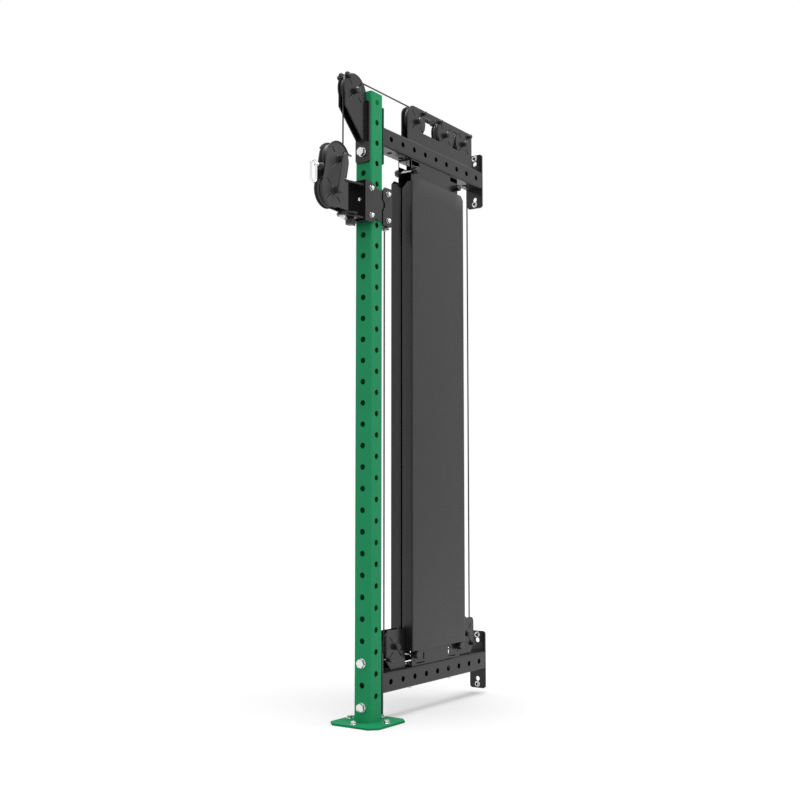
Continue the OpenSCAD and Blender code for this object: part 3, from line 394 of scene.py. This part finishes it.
# Nine pulleys of turned black nylon run on the 12 mm axles. Each has a round cable groove,
# broad rim walls, a thin web stiffened by six ribs, and a hub.
def moulded(name, deep, pale, rough, spark):
    """Glass-filled nylon: a dielectric with the fine spark-eroded grain of its mould, which
    is 0.4 mm on the real piece and is drawn 1.5 mm, so that it shows."""
    material, tree, skin, where = new_finish(name)
    grain = add(tree, "ShaderNodeTexNoise", {"Vector": where, "Scale": 1 / 0.0015, "Detail": 2.0})
    flow = add(tree, "ShaderNodeTexNoise", {"Vector": where, "Scale": 1 / 0.03, "Detail": 2.0})
    tone = add(tree, "ShaderNodeMix", {0: flow.outputs[0], 6: linear(deep), 7: linear(pale)},
               data_type="RGBA")
    dull = add(tree, "ShaderNodeMapRange", {"Value": grain.outputs[0], "From Min": 0.3,
               "From Max": 0.7, "To Min": rough - 0.06, "To Max": rough + 0.06})
    bump = add(tree, "ShaderNodeBump", {"Height": grain.outputs[0], "Strength": spark,
               "Distance": 0.0002})
    feed(tree, skin, {"Base Color": tone.outputs[2], "Roughness": dull.outputs[0],
         "Normal": bump.outputs[0], "IOR": 1.53})
    return material


def sheave(y, z, width):
    """A pulley round X: the profile runs from the bore over one face, the rim and the
    groove to the other face, and the web swells to a rib six times round."""
    h = width / 2
    side = [(6.05, 0), (6.05, h - 0.6), (6.7, h), (14.4, h), (15.2, h - 0.8), (15.8, h - 2.5),
            (17.5, 4), (20, 4), (28, 4), (36, 4), (38, 4.6), (39.2, h - 1.8), (40, h - 1),
            (44, h - 1), (45, h - 1.8), (48, h - 1.8), (49, h - 1), (56.2, h - 1),
            (57.4, h - 1.4), (58, h - 2.4), (58, 8), (57.6, 7.2), (54.2, 4.6), (53, 3.6),
            (51.4, 3.2), (50.2, 2.1), (49.6, 0)]
    profile = np.array(side + [(r, -x) for r, x in side[::-1]][1:])
    a = np.linspace(0, 2 * math.pi, 145)
    r, x = profile[:, 0:1], profile[:, 1:2]
    web = (r > 17) & (r < 37)
    rib = np.clip((0.24 - np.abs((a * 3 / math.pi + 0.5) % 1 - 0.5) * 2) / 0.12, 0, 1)
    x = np.where(web, x + np.sign(x) * 4.5 * rib, x + 0 * a)
    return np.stack([x, y + r * np.cos(a), z + r * np.sin(a)], -1)


# Where each pulley stands: y and z of its axle, or x, y and z for the two in the housing.
top_front, stack_front, stack_rear = (-112, 2357), (308.5, 2357), (520.5, 2357)
top_rear, lower_rear, lower_front = (665, 2357), (665, 261), (153, 261)
floating = (414.5, 781)
upper, lower = np.array([0, -218.0, 2066.0]), np.array([0, -245.0, 1943.0])
pulley_nylon = moulded("turned_black_nylon", "161617", "1f1f20", 0.5, 0.1)
for body, node, (y, z), width in (
    ("top_front_pulley", "pulley_top_front", top_front, 24),
    ("stack_front_pulley", "pulley_stack_front", stack_front, 24),
    ("stack_rear_pulley", "pulley_stack_rear", stack_rear, 24),
    ("top_rear_pulley", "pulley_top_rear", top_rear, 24),
    ("lower_rear_pulley", "pulley_lower_rear", lower_rear, 24),
    ("lower_front_pulley", "pulley_lower_front", lower_front, 24),
    ("stack_pulley", "floating_pulley", floating, 24),
    ("swivel_pulley_upper", "housing_pulley_upper", upper[1:], 32),
    ("swivel_pulley_lower", "housing_pulley_lower", lower[1:], 32),
):
    mesh_piece(node + "_ribbed", [sheave(y, z, width)], pulley_nylon, body,
               [node])

# The axles and keeper bolts end in push-on caps of black nylon: a straight skirt, then a
# wider domed head that hides the end of the steel.
cap_nylon = moulded("moulded_black_nylon", "1b1b1c", "242425", 0.45, 0.25)
steel = zinc_plate("bright_steel_bar", "a9abad", "c4c4c2", 0.26)


def push_cap(d, h):
    """A cap: a skirt 2 mm inside the head, then a head whose radius falls as the cosine,
    to the power 0.8, of an angle whose sine raises it to the height h."""
    t = np.linspace(0, math.pi / 2, 9)[:-1]
    foot = 0.6 * h
    head = [(d / 2 * math.cos(a) ** 0.8, foot + 0.5 + (h - foot - 0.5) * math.sin(a)) for a in t]
    return turned([(0, 0.3), (d / 2 - 2.3, 0.3), (d / 2 - 2, 0.6), (d / 2 - 2, foot - 0.4),
                   (d / 2 - 0.4, foot)] + head + [(0, h)], 40)


# y and z of the axles, and of the keeper bolts that hold the cable in its grooves.
parts, bars = [], []
keepers = [(-156.19, 2401.19), (352.69, 2401.19), (476.31, 2401.19), (709.19, 2401.19),
           (709.19, 216.81), (108.81, 216.81)]
axles = [top_front, stack_front, stack_rear, top_rear, lower_rear, lower_front]
for places, d, h, shank in ((axles, 26, 20, 12), (keepers, 19, 15, 7)):
    for y, z in places:
        parts += [stood(push_cap(d, h), (s * 17.5, y, z), (s, 0, 0)) for s in (-1, 1)]
        bars.append(stood(turned([(0, -26), (shank / 2, -26), (shank / 2, 26), (0, 26)], 32),
                          (0, y, z), (1, 0, 0)))
mesh_piece("axle_caps_domed", parts, cap_nylon, "frame", ["axle_caps"])
mesh_piece("axle_bars", bars, steel, "frame", ["pulley_axles"])

# The weight stack stands between two channels of 2 mm black sheet. Rods with lobed hand
# knobs hold the channels, and the covers are fixed to the channels.
softened(black_coat, "black_coat", 0.35, "stack_mount_upper", "stack_mount_lower")


def lobed_knob(d, h, lobes, depth):
    """A hand knob round +Z: the radius waves by depth with the angle, deepest in mid
    height, and the top is crowned and rounded over."""
    t = np.array([0, 0, 0.06, 0.5, 0.86, 0.96, 1.0, 1.0, 1.0])
    share = np.array([0, 0.92, 1.0, 1.0, 1.0, 0.94, 0.84, 0.5, 0])[:, None]
    a = np.linspace(0, 2 * math.pi, 12 * lobes + 1)
    wave = depth * (0.5 - 0.5 * np.cos(lobes * a)) ** 1.5
    r = (d / 2 - wave) * share
    z = (h * t)[:, None] + 0 * a
    return np.stack([r * np.cos(a), r * np.sin(a), z], -1)


stack_y = floating[0]
knob_plastic = moulded("knob_black_nylon", "19191a", "212122", 0.4, 0.2)
rod = turned([(0, -35), (6, -35), (6, 35), (0, 35)], 32)
collar = turned([(0, 0), (12, 0), (12, 4.2), (0, 4.2)], 32)
parts, bars = [], []
for z in (222, 2137):
    for y in (256.5, 572.5):
        bars.append(stood(rod, (0, y, z), (1, 0, 0)))
        for s in (-1, 1):
            parts.append(stood(collar, (s * 32, y, z), (s, 0, 0)))
            parts.append(stood(lobed_knob(29, 18, 6, 3.4), (s * 36, y, z), (s, 0, 0), 13))
mesh_piece("mount_knobs_lobed", parts, knob_plastic, "frame", ["mount_knobs"])
mesh_piece("mount_rod_bars", bars, steel, "frame", ["mount_rods"])


# Two folded covers of 2 mm sheet, coated satin black, close round the stack. Their front
# and rear edges leave a slit, and a V is cut where they meet at the top.
def cover(side):
    """One cover: the section runs from the front slit round two bends of 3 mm radius to
    the rear slit, and its top edge falls at 45 degrees in the V and at the corners. A row
    and a column of points stand on the edge of the notch for the lower rear pulley, and on
    the left two rows dip along a circle, where the long slot for the pin ends."""
    x0, x1, y0, y1, z0, z1 = 3.5, 51.5, 218.5, 601.5, 239.0, 2104.0
    c = np.linspace(0, math.pi / 2, 7)
    r, half_slot = 3.0, 7.75
    front = np.array([x0, 19, 29, 38])
    flat = np.concatenate([[y0 + 6, y0 + 13, y0 + 19, 300],
                           stack_y + np.linspace(-half_slot, half_slot, 9),
                           [530, y1 - 19, y1 - 13, y1 - 6]])
    x = np.concatenate([front, x1 - r + r * np.sin(c), 0 * flat + x1, x1 - r + r * np.cos(c),
                        front[::-1]])
    y = np.concatenate([0 * front + y0, y0 + r - r * np.cos(c), flat, y1 - r + r * np.sin(c),
                        0 * front + y1])
    edge = np.minimum(y - y0, y1 - y)
    notch = np.where(edge < 0.01, np.clip(29 - x, 0, 25.5), 0)
    top = z1 - np.clip(20 - edge, 0, 20) - notch
    dip = np.sqrt(np.clip(half_slot ** 2 - (y - stack_y) ** 2, 0, None))
    dip = np.where((np.abs(y - stack_y) <= half_slot) & (x > x1 - 0.01), dip, 0)
    rows = [z0 + 0 * x, 303 - dip] if side < 0 else [z0 + 0 * x, 303 + 0 * x]
    rows += [z + 0 * x for z in (331, 700, 1100, 1500)]
    rows += [1918 + dip] if side < 0 else [1918 + 0 * x]
    rows += [2030 + 0 * x, top]
    z = np.array(rows)
    return np.stack([side * x + 0 * z, y + 0 * z, z], -1)


# The faces inside the notch and the slot are taken away, and four spacers of 14 mm bar hold
# each cover on its channels.
for side, name in ((-1, "shroud_left"), (1, "shroud_right")):
    sheet = mesh_piece(name + "_folded", [cover(side)], black_coat, "frame",
                       [name], crease=60.0)
    work = bmesh.new()
    work.from_mesh(sheet.data)
    middles = [(f, f.calc_center_median()) for f in work.faces]
    open_faces = [f for f, m in middles if m.y > 0.6005 and abs(m.x) < 0.019 and m.z < 0.331]
    if side < 0:
        open_faces += [f for f, m in middles if f.normal.x ** 2 > 0.9
                       and abs(m.y - stack_y / 1000) < 0.00775 and 0.3 < m.z < 1.92]
    bmesh.ops.delete(work, geom=open_faces, context="FACES")
    outward = sum(f.normal.x * side * f.calc_area() for f in work.faces)
    if outward < 0:
        bmesh.ops.reverse_faces(work, faces=work.faces)
    work.to_mesh(sheet.data)
    work.free()
    wall = sheet.modifiers.new("sheet", "SOLIDIFY")
    wall.thickness, wall.offset = 0.002, 0.0
    rims = sheet.modifiers.new("rims", "BEVEL")
    rims.width, rims.segments, rims.angle_limit = 0.0004, 2, math.radians(60)
    spacer = turned([(0, 32), (6.4, 32), (7, 32.6), (7, 50.5), (0, 50.5)], 32)
    mesh_piece(name + "_spacers", [stood(spacer, (0, y, z), (side, 0, 0)) for y in (264.5, 564.5)
               for z in (266, 2064)], black_coat, "frame")

# Chromed guide rods, rubber bumpers, and a stack of black enamelled cast plates with a
# drilled stem. A pin with a red knob picks the plates; a yoke on top holds the pulley.
chrome = zinc_plate("chromed_guide_rod", "c9cccf", "dfe0e0", 0.14)


def cast_enamel(name, deep, pale):
    """Stove enamel over grey iron: the casting's sand grain, some 3 mm across, and its
    pits, some 8 mm apart, still show through the film."""
    material, tree, skin, where = new_finish(name)
    sand = add(tree, "ShaderNodeTexNoise", {"Vector": where, "Scale": 1 / 0.003, "Detail": 4.0})
    pits = add(tree, "ShaderNodeTexVoronoi", {"Vector": where, "Scale": 1 / 0.008})
    tone = add(tree, "ShaderNodeMix", {0: sand.outputs[0], 6: linear(deep), 7: linear(pale)},
               data_type="RGBA")
    rough = add(tree, "ShaderNodeMath", {0: sand.outputs[0], 1: pits.outputs[0]}, operation="ADD")
    bump = add(tree, "ShaderNodeBump", {"Height": rough.outputs[0], "Strength": 0.35,
               "Distance": 0.0005})
    dull = add(tree, "ShaderNodeMapRange", {"Value": sand.outputs[0], "To Min": 0.35,
               "To Max": 0.6})
    feed(tree, skin, {"Base Color": tone.outputs[2], "Roughness": dull.outputs[0],
         "Normal": bump.outputs[0]})
    return material


enamel = cast_enamel("enamelled_cast_iron", "202022", "2c2c2e")
rubber = moulded("black_rubber", "141414", "1c1c1c", 0.7, 0.4)
softened(enamel, "cast_plate", 1.5, "resting_plates", "lifted_plates", "head_plate")
softened(rubber, "soft_rubber", 2.0, "stack_bumpers")
softened(chrome, "steel", 0.8, "guide_rods")
softened(steel, "steel", 0.5, "selector_stem")
softened(black_coat, "black_coat", 0.7, "pulley_yoke")
red_knob = moulded("red_knob_nylon", "8c1d1a", "9c2420", 0.35, 0.15)
pin_z = 536.3
pin = turned([(0, 0), (3.2, 0), (4.75, 1.6), (4.75, 65.5), (0, 65.5)], 32)
mesh_piece("selector_pin_bar", [stood(pin, (9, stack_y, pin_z), (-1, 0, 0))], steel, "selector",
           ["selector_pin"])
mesh_piece("selector_pin_knob", [stood(turned([(0, 0), (11.2, 0), (12, 0.8), (12, 5.2), (11.2, 6),
           (8, 7), (7, 9), (7, 13), (8.5, 15.5), (12.2, 17), (13, 18.5), (13, 23.5), (12, 25.3),
           (9.5, 26), (0, 26)], 48), (-56.5, stack_y, pin_z), (-1, 0, 0))], red_knob, "selector")

# The carriage is a folded sleeve of 3 mm plate that slides on the upright. Slippery pads in
# front and two rollers behind take its load, and bolts through both of its sides hold them.
softened(black_coat, "black_coat", 0.8, "carriage_sleeve", "carriage_rear_bracket")
# The sleeve's forward-facing front panel gets a second, darker coat. This is painted shade, for the
# shade in the recess between the swivel's lugs.
sleeve = bpy.data.objects["carriage_sleeve_finished"].data
sleeve.materials.append(powder_coat("painted_shade_panel", "0d0d0e", "121213", 0.6, 0.06, 0.05))
for face in sleeve.polygons:
    if face.normal.y < -0.99 and face.center.y < -0.08:
        face.material_index = 1


# A thin black plate with rounded corners, held by four screws, closes the window in the rear
# bracket. It is a dark sheet put there as painted shade, so that the wavy slit between sleeve and
# bracket shows dark and no light falls through.
def round_plate(w, h, t, r=5.0):
    """A flat plate round +Z: a rounded rectangle of w by h whose rim is rounded over 0.4."""
    a = np.linspace(0, 2 * math.pi, 49)
    cx = np.sign(np.cos(a + 1e-6)) * (w / 2 - r) + r * np.cos(a)
    cy = np.sign(np.sin(a + 1e-6)) * (h / 2 - r) + r * np.sin(a)
    share = np.array([0, 1, 1, 1 - 0.8 / w, 0])[:, None]
    z = np.array([0, 0, t - 0.4, t, t])[:, None]
    return np.stack([cx * share, cy * share, z + 0 * a], -1)


carriage_z, bolt_rise, pad_y, roller_y = 1940, 52, -49, 60
pivot_y, clamp_y, anchor_y = -165, -117, 100
plate_y, plate_z = 87, carriage_z + 5
screw = turned([(0, 0), (4, 0), (4, 0.6), (3.2, 1.6), (0, 2)], 32)
parts = [stood(screw, (s * 31, plate_y + 1.6, plate_z + t * 41), (0, 1, 0))
         for s in (-1, 1) for t in (-1, 1)]
mesh_piece("rear_window_screws", parts, zinc, "carriage")
mesh_piece("rear_window_shade_plate", [stood(round_plate(74, 94, 1.6), (0, plate_y, plate_z), (0, 1, 0))],
           black_coat, "carriage")

# The pads and the two rollers, turned with a shoulder at each end, are of black nylon. M10
# bolts with washers carry both, and a ferrule behind them holds the cable's other end.
slide_nylon = moulded("black_guide_nylon", "1a1a1b", "232324", 0.4, 0.1)
softened(slide_nylon, "pad_plastic", 0.8, "guide_blocks")
for s, name in ((1, "upper"), (-1, "lower")):
    side = [(5.05, 0), (5.05, 39.2), (5.6, 39.5), (12.6, 39.5), (13.05, 39.0), (13.05, 30.6),
            (13.6, 30), (21, 30), (22, 29), (22, 0)]
    roller = turned(side + [(r, -x) for r, x in side[::-1]][1:], 64)
    mesh_piece("rear_roller_%s_turned" % name,
               [stood(roller, (0, roller_y, carriage_z + s * bolt_rise), (1, 0, 0))],
               slide_nylon, "roller_" + name, ["rear_roller_" + name])
shank = turned([(0, -46), (5, -46), (5, 52), (0, 52)], 32)
parts = []
for s in (-1, 1):
    for y in (pad_y, roller_y):
        z = carriage_z + s * bolt_rise
        parts.append(stood(shank, (0, y, z), (1, 0, 0)))
        for t in (-1, 1):
            parts.append(stood(washer(20, 10, 1.2), (t * 46, y, z), (t, 0, 0)))
        parts.append(stood(hexagon(17, 4.8), (-47.2, y, z), (-1, 0, 0), z % 60 + y % 37))
        parts.append(stood(hexagon(17, 6.8, 5), (47.2, y, z), (1, 0, 0), z % 60 + y % 31))
        parts.append(stood(threaded(10, 50, 59, 1.5), (0, y, z), (1, 0, 0)))
pivot_bolt = turned([(0, 1868), (6, 1868), (6, 2002), (0, 2002)], 32)
ferrule = turned([(0, 0), (5, 0), (6, 1), (6, 19), (5, 20), (0, 20)], 32)
up, down = (0, 0, 1), (0, 0, -1)
parts += [
    stood(hexagon(13, 6), (22.7, -85, carriage_z + 3), (0, -1, 0), 11),
    stood(hexagon(19, 8), (0, pivot_y, 2002), up, 14),
    stood(pivot_bolt, (0, pivot_y, 0), up),
    stood(washer(26, 12, 2), (0, pivot_y, 1866), up),
    stood(hexagon(19, 8), (0, pivot_y, 1866), down, 22),
    stood(threaded(12, 6, 10, 1.75), (0, pivot_y, 1866), down),
    stood(ferrule, (0, anchor_y, 1860), up),
    stood(hexagon(17, 6), (0, anchor_y, 1872), up, 25),
]
mesh_piece("carriage_bolts_hex", parts, zinc, "carriage", ["carriage_bolts"])

# A sprung pull pin on the left drops into the upright's side holes; it is drawn parked. A
# star knob below the swivel clamps it in its slotted sector.
barrel = turned([(9.5, 0), (13, 0), (14, 1), (14, 10.8), (12.8, 12), (9.5, 12), (9.5, 0)], 48)
parts = [stood(hexagon(34, 10, 9.5), (-46, 0, carriage_z), (-1, 0, 0), 9),
         stood(barrel, (-56, 0, carriage_z), (-1, 0, 0))]
mesh_piece("lock_barrel_turned", parts, zinc, "carriage", ["lock_barrel"])
mesh_piece("lock_pin_bar", [stood(turned([(0, 0), (7, 0), (9, 3.5), (9, 45), (0, 45)], 48),
           (-41.5, 0, carriage_z), (-1, 0, 0))], steel, "carriage_lock", ["lock_pin"])
mesh_piece("lock_pin_knob", [stood(lobed_knob(37, 20, 6, 4.2), (-86.5, 0, carriage_z), (-1, 0, 0))],
           knob_plastic, "carriage_lock")
boss = turned([(0, 0), (10, 0), (13, 1.4), (13, 5.5), (0, 5.5)], 32)
clamp_screw = turned([(0, 0), (5, 0), (5, 19), (8.4, 19), (9, 19.6), (9, 23.2), (8.2, 24),
                      (0, 24)], 32)
star = lobed_knob(38, 19, 6, 4.5)
mesh_piece("swivel_lock_star_knob", [stood(star, (0, clamp_y, 1862), down, 30),
           stood(boss, (0, clamp_y, 1867.4), down)], knob_plastic, "swivel_lock",
           ["swivel_lock_knob"])
mesh_piece("swivel_lock_screw", [stood(clamp_screw, (0, clamp_y, 1864), up)], steel, "swivel_lock")

# The swivel housing is two thick black plates on a pivot tube. A steel strip guards the
# cable over the upper pulley, and a grab handle with a moulded grip turns the housing.
cast_coat = powder_coat("cast_black_coat", "3c3c3d", "424243", 0.45, 0.3, 0.05)
softened(cast_coat, "black_coat", 1.6, "housing_plates", segments=3)
softened(black_coat, "black_coat", 0.6, "housing_pivot", "housing_fittings")


def carried(path, across, up, breadth, depth, power=2.6):
    """A section carried along a path: at each point a superellipse of the given breadth and
    depth stands across the path, on the two directions given there; the ends are closed."""
    a = np.linspace(0, 2 * math.pi, 33)
    c, s = np.cos(a), np.sin(a)
    u = np.sign(c) * np.abs(c) ** (2 / power)
    v = np.sign(s) * np.abs(s) ** (2 / power)
    b = np.array(breadth, float)[:, None, None] / 2
    d = np.array(depth, float)[:, None, None] / 2
    rings = (path[:, None] + b * u[None, :, None] * across[:, None]
             + d * v[None, :, None] * up[:, None])
    ends = [np.repeat(path[i][None, None], 33, 1) for i in (0, -1)]
    return np.concatenate([ends[0], rings, ends[1]])


run = (upper - lower) / np.linalg.norm(upper - lower)
out = np.array([1.0, 0, 0])
span = np.linalg.norm(upper - lower)
along = np.concatenate([-15 + 6 * (1 - np.cos(np.linspace(0, math.pi / 2, 7))),
                        np.linspace(-7, span + 7, 60),
                        span + 9 + 6 * np.sin(np.linspace(0, math.pi / 2, 7))])
path = lower + out * 51 + run * along[:, None]
inset = np.clip(6 - np.minimum(along + 15, span + 15 - along), 0, 6)
full = np.sqrt(1 - (inset / 6.2) ** 2)
sides = np.cross(run, out)[None] + 0 * path
grip = [carried(path, sides, out[None] + 0 * path, 16 * full + 6, 13 * full + 5, 2.2)]
posts = [stood(turned([(0, 0), (15, 0), (15, 2.4), (14.4, 3), (13.6, 3.6), (13.2, 5), (13, 8),
                       (13, 29.5), (0, 29.5)], 48), axle + out * 21.5, (1, 0, 0))
         for axle in (lower, upper)]
# Grip and posts are one black nylon drawn in two tones. The grip's lighter tone is painted light,
# and the posts' darker tone is painted shade.
mesh_piece("grab_handle_grip", grip, moulded("grip_nylon_painted_light", "2c2c2d", "343435", 0.5, 0.35),
           "swivel", ["grab_handle"], crease=50.0)
mesh_piece("grab_handle_posts", posts, moulded("post_nylon_painted_shade", "0e0e0f", "141415", 0.55, 0.2),
           "swivel", crease=50.0)


# One 6 mm wire rope in a smooth black nylon jacket runs from the handle end over the
# pulleys, round the floating pulley on the stack, and down and back to the carriage.
def roped(points, d=6.0):
    """A round cable in the plane x = 0 along (y, z) points: a circle stands across the
    path at each point. Returns the grid and, for the strands' lay, angle and length."""
    p = np.array(points, float)
    t = np.gradient(p, axis=0)
    t /= np.linalg.norm(t, axis=1)[:, None]
    a = np.linspace(0, 2 * math.pi, 17)
    x = d / 2 * np.cos(a)[None] + 0 * p[:, :1]
    y = p[:, :1] - d / 2 * np.sin(a)[None] * t[:, 1:]
    z = p[:, 1:] + d / 2 * np.sin(a)[None] * t[:, :1]
    rings = np.stack([x, y, z], -1)
    tips = [np.repeat(np.array([0, *p[i]])[None, None], 17, 1) for i in (0, -1)]
    run = np.concatenate([[0], np.cumsum(np.linalg.norm(np.diff(p, axis=0), axis=1))])
    run = np.concatenate([[0], run, [run[-1]]])
    uv = np.stack([(a / (2 * math.pi))[None] + 0 * run[:, None], run[:, None] / 40 + 0 * a], -1)
    return np.concatenate([tips[0], rings, tips[1]]), uv.reshape(-1, 2)


def bow(axle, a0, a1, r=53.0):
    """Points of an arc round an axle from a0 to a1 degrees, one every 3 degrees or so; the
    cable's middle line runs 53 mm from a pulley's middle."""
    a = np.radians(np.linspace(a0, a1, max(4, int(abs(a1 - a0) / 3))))
    return list(zip(axle[0] + r * np.cos(a), axle[1] + r * np.sin(a)))


# Nylon is drawn tight over the rope, so its six strands, with a lay of 40 mm, show faintly.
jacket, tree, skin, _ = new_finish("nylon_cable_jacket")
lay = add(tree, "ShaderNodeUVMap", uv_map="lay")
wave = add(tree, "ShaderNodeTexWave", {"Vector": lay.outputs[0], "Scale": 1.9,
           "Distortion": 0.0}, wave_type="BANDS", bands_direction="DIAGONAL")
strands = wave.outputs["Fac"]
bump = add(tree, "ShaderNodeBump", {"Height": strands, "Strength": 0.3, "Distance": 0.0004})
tone = add(tree, "ShaderNodeMix", {0: strands, 6: linear("111112"), 7: linear("1a1a1b")},
           data_type="RGBA")
dull = add(tree, "ShaderNodeMapRange", {"Value": strands, "To Min": 0.3, "To Max": 0.42})
feed(tree, skin, {"Base Color": tone.outputs[2], "Roughness": dull.outputs[0],
     "Normal": bump.outputs[0]})


def rope_piece(name, runs, body, node):
    """A length of cable of one or more runs, whose UV map holds the lay of its strands."""
    grids, uvs = zip(*[roped(points) for points in runs])
    return mesh_piece(name, grids, jacket, body, [node], crease=60.0,
                      uv=np.concatenate(uvs))


rope_piece("cable_over_frame", [
    bow(top_front, 180, 90) + bow(stack_front, 90, 0),
    bow(stack_rear, 180, 90) + bow(top_rear, 90, 0) + bow(lower_rear, 0, -90)
    + bow(lower_front, -90, -180),
], "frame", "cable_fixed")
rope_piece("cable_round_stack_pulley", [bow(floating, 180, 360)], "stack", "cable_floating_arc")
rope_piece("cable_round_housing_pulley", [bow(upper[1:], -0.4, -98.1)], "swivel",
           "cable_housing_arc")
# The upright runs stretch between the frame and what moves: their y, and z at both ends.
for name, node, mover, y, (fixed_z, moved_z) in (
    ("cable_front_drop", "cable_front_run", "carriage", [pivot_y], (2357, 2066)),
    ("cable_anchor_drop", "cable_anchor_run", "carriage", [anchor_y], (261, 1862)),
    ("cable_stack_drops", "cable_stack_falls", "stack", [361.5, 467.5], (2357, 781)),
):
    runs = [[(place, h) for h in np.linspace(fixed_z, moved_z, 25)] for place in y]
    drop = rope_piece(name, runs, None, node)
    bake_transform(drop)
leave, ball = np.array([-225.5, 2013.5]), np.array([-292.0, 2023.0])
reach = [tuple(leave + (ball - leave) * k) for k in np.linspace(0, 0.96, 12)]
tail = rope_piece("cable_tail_end", [reach], None, "cable_tail")
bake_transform(tail)

# The cable ends in a rubber stop ball, which rests against the pulleys, a swaged steel eye
# and a polished steel carabiner with a sprung gate.
a = np.linspace(0, math.pi, 25)
seam = 0.35 * np.exp(-((a - math.pi / 2) / 0.05) ** 2)
ball_profile = np.stack([(15 + seam) * np.sin(a), -(15 + 0 * a) * np.cos(a)], -1)
ball_profile[0, 0] = ball_profile[-1, 0] = 0
mesh_piece("stopper_ball_moulded", [stood(turned(ball_profile, 48), (0, *ball), (0, -1, 0))],
           rubber, "cable_end", ["stopper_ball"])
polished = zinc_plate("polished_steel", "dddfe1", "eeeeec", 0.15)
u = np.linspace(0, 2 * math.pi, 49)[:, None]
v = np.linspace(0, 2 * math.pi, 17)[None]
ring = np.stack([(10.3 + 2.8 * np.cos(v)) * np.cos(u),
                 ball[0] - 27.5 + (10.3 + 2.8 * np.cos(v)) * np.sin(u),
                 ball[1] + 2 + 2.8 * np.sin(v) + 0 * u], -1)
swage = turned([(0, 0), (3, 0), (3.4, 1), (3.4, 4), (3, 5), (0, 5)], 24)
mesh_piece("cable_eye", [ring, stood(swage, (0, ball[0] - 13, ball[1] + 2), (0, -1, 0))], polished,
           "cable_end")


def looped(points, d):
    """A bent wire in the plane x = 0: a round section on each (y, z) point, tapered by the
    third number, with closed ends."""
    p = np.array(points, float)
    t = np.gradient(p[:, :2], axis=0)
    t /= np.linalg.norm(t, axis=1)[:, None]
    a = np.linspace(0, 2 * math.pi, 21)
    r = d / 2 * p[:, 2:]
    x = r * np.cos(a)[None]
    y = p[:, :1] - r * np.sin(a)[None] * t[:, 1:]
    z = p[:, 1:2] + r * np.sin(a)[None] * t[:, :1]
    rings = np.stack([x, y, z], -1)
    tips = [np.repeat(np.array([0, p[i, 0], p[i, 1]])[None, None], 21, 1) for i in (0, -1)]
    return np.concatenate([tips[0], rings, tips[1]])


def hook(a0, a1, zc):
    """Points of one end of the carabiner round its centre, at full thickness."""
    a = np.radians(np.linspace(a0, a1, 24))
    return [(-336 + 15.5 * math.cos(k), zc + 15.5 * math.sin(k), 1.0) for k in a]


back = hook(178, 0, 2020.1) + [(-320.5, z, 1.0) for z in np.linspace(2018, 1973, 22)]
mesh_piece("carabiner_bent", [looped(back + hook(360, 182, 1971), 9.0)], polished, "clip",
           ["carabiner"])
gate = [(-351.5, z, k) for z, k in zip((2019.7, 2018.8, 2008, 1996, 1984, 1973.6, 1972.6),
                                       (0.9, 1.0, 1.0, 1.0, 1.0, 1.0, 0.9))]
hinge = turned([(0, -4.7), (1.5, -4.7), (1.5, 4.7), (0, 4.7)], 16)
mesh_piece("carabiner_gate_bar", [looped(gate, 7.0), stood(hinge, (0, -351.5, 1976), (1, 0, 0))],
           polished, "clip_gate", ["carabiner_gate"])
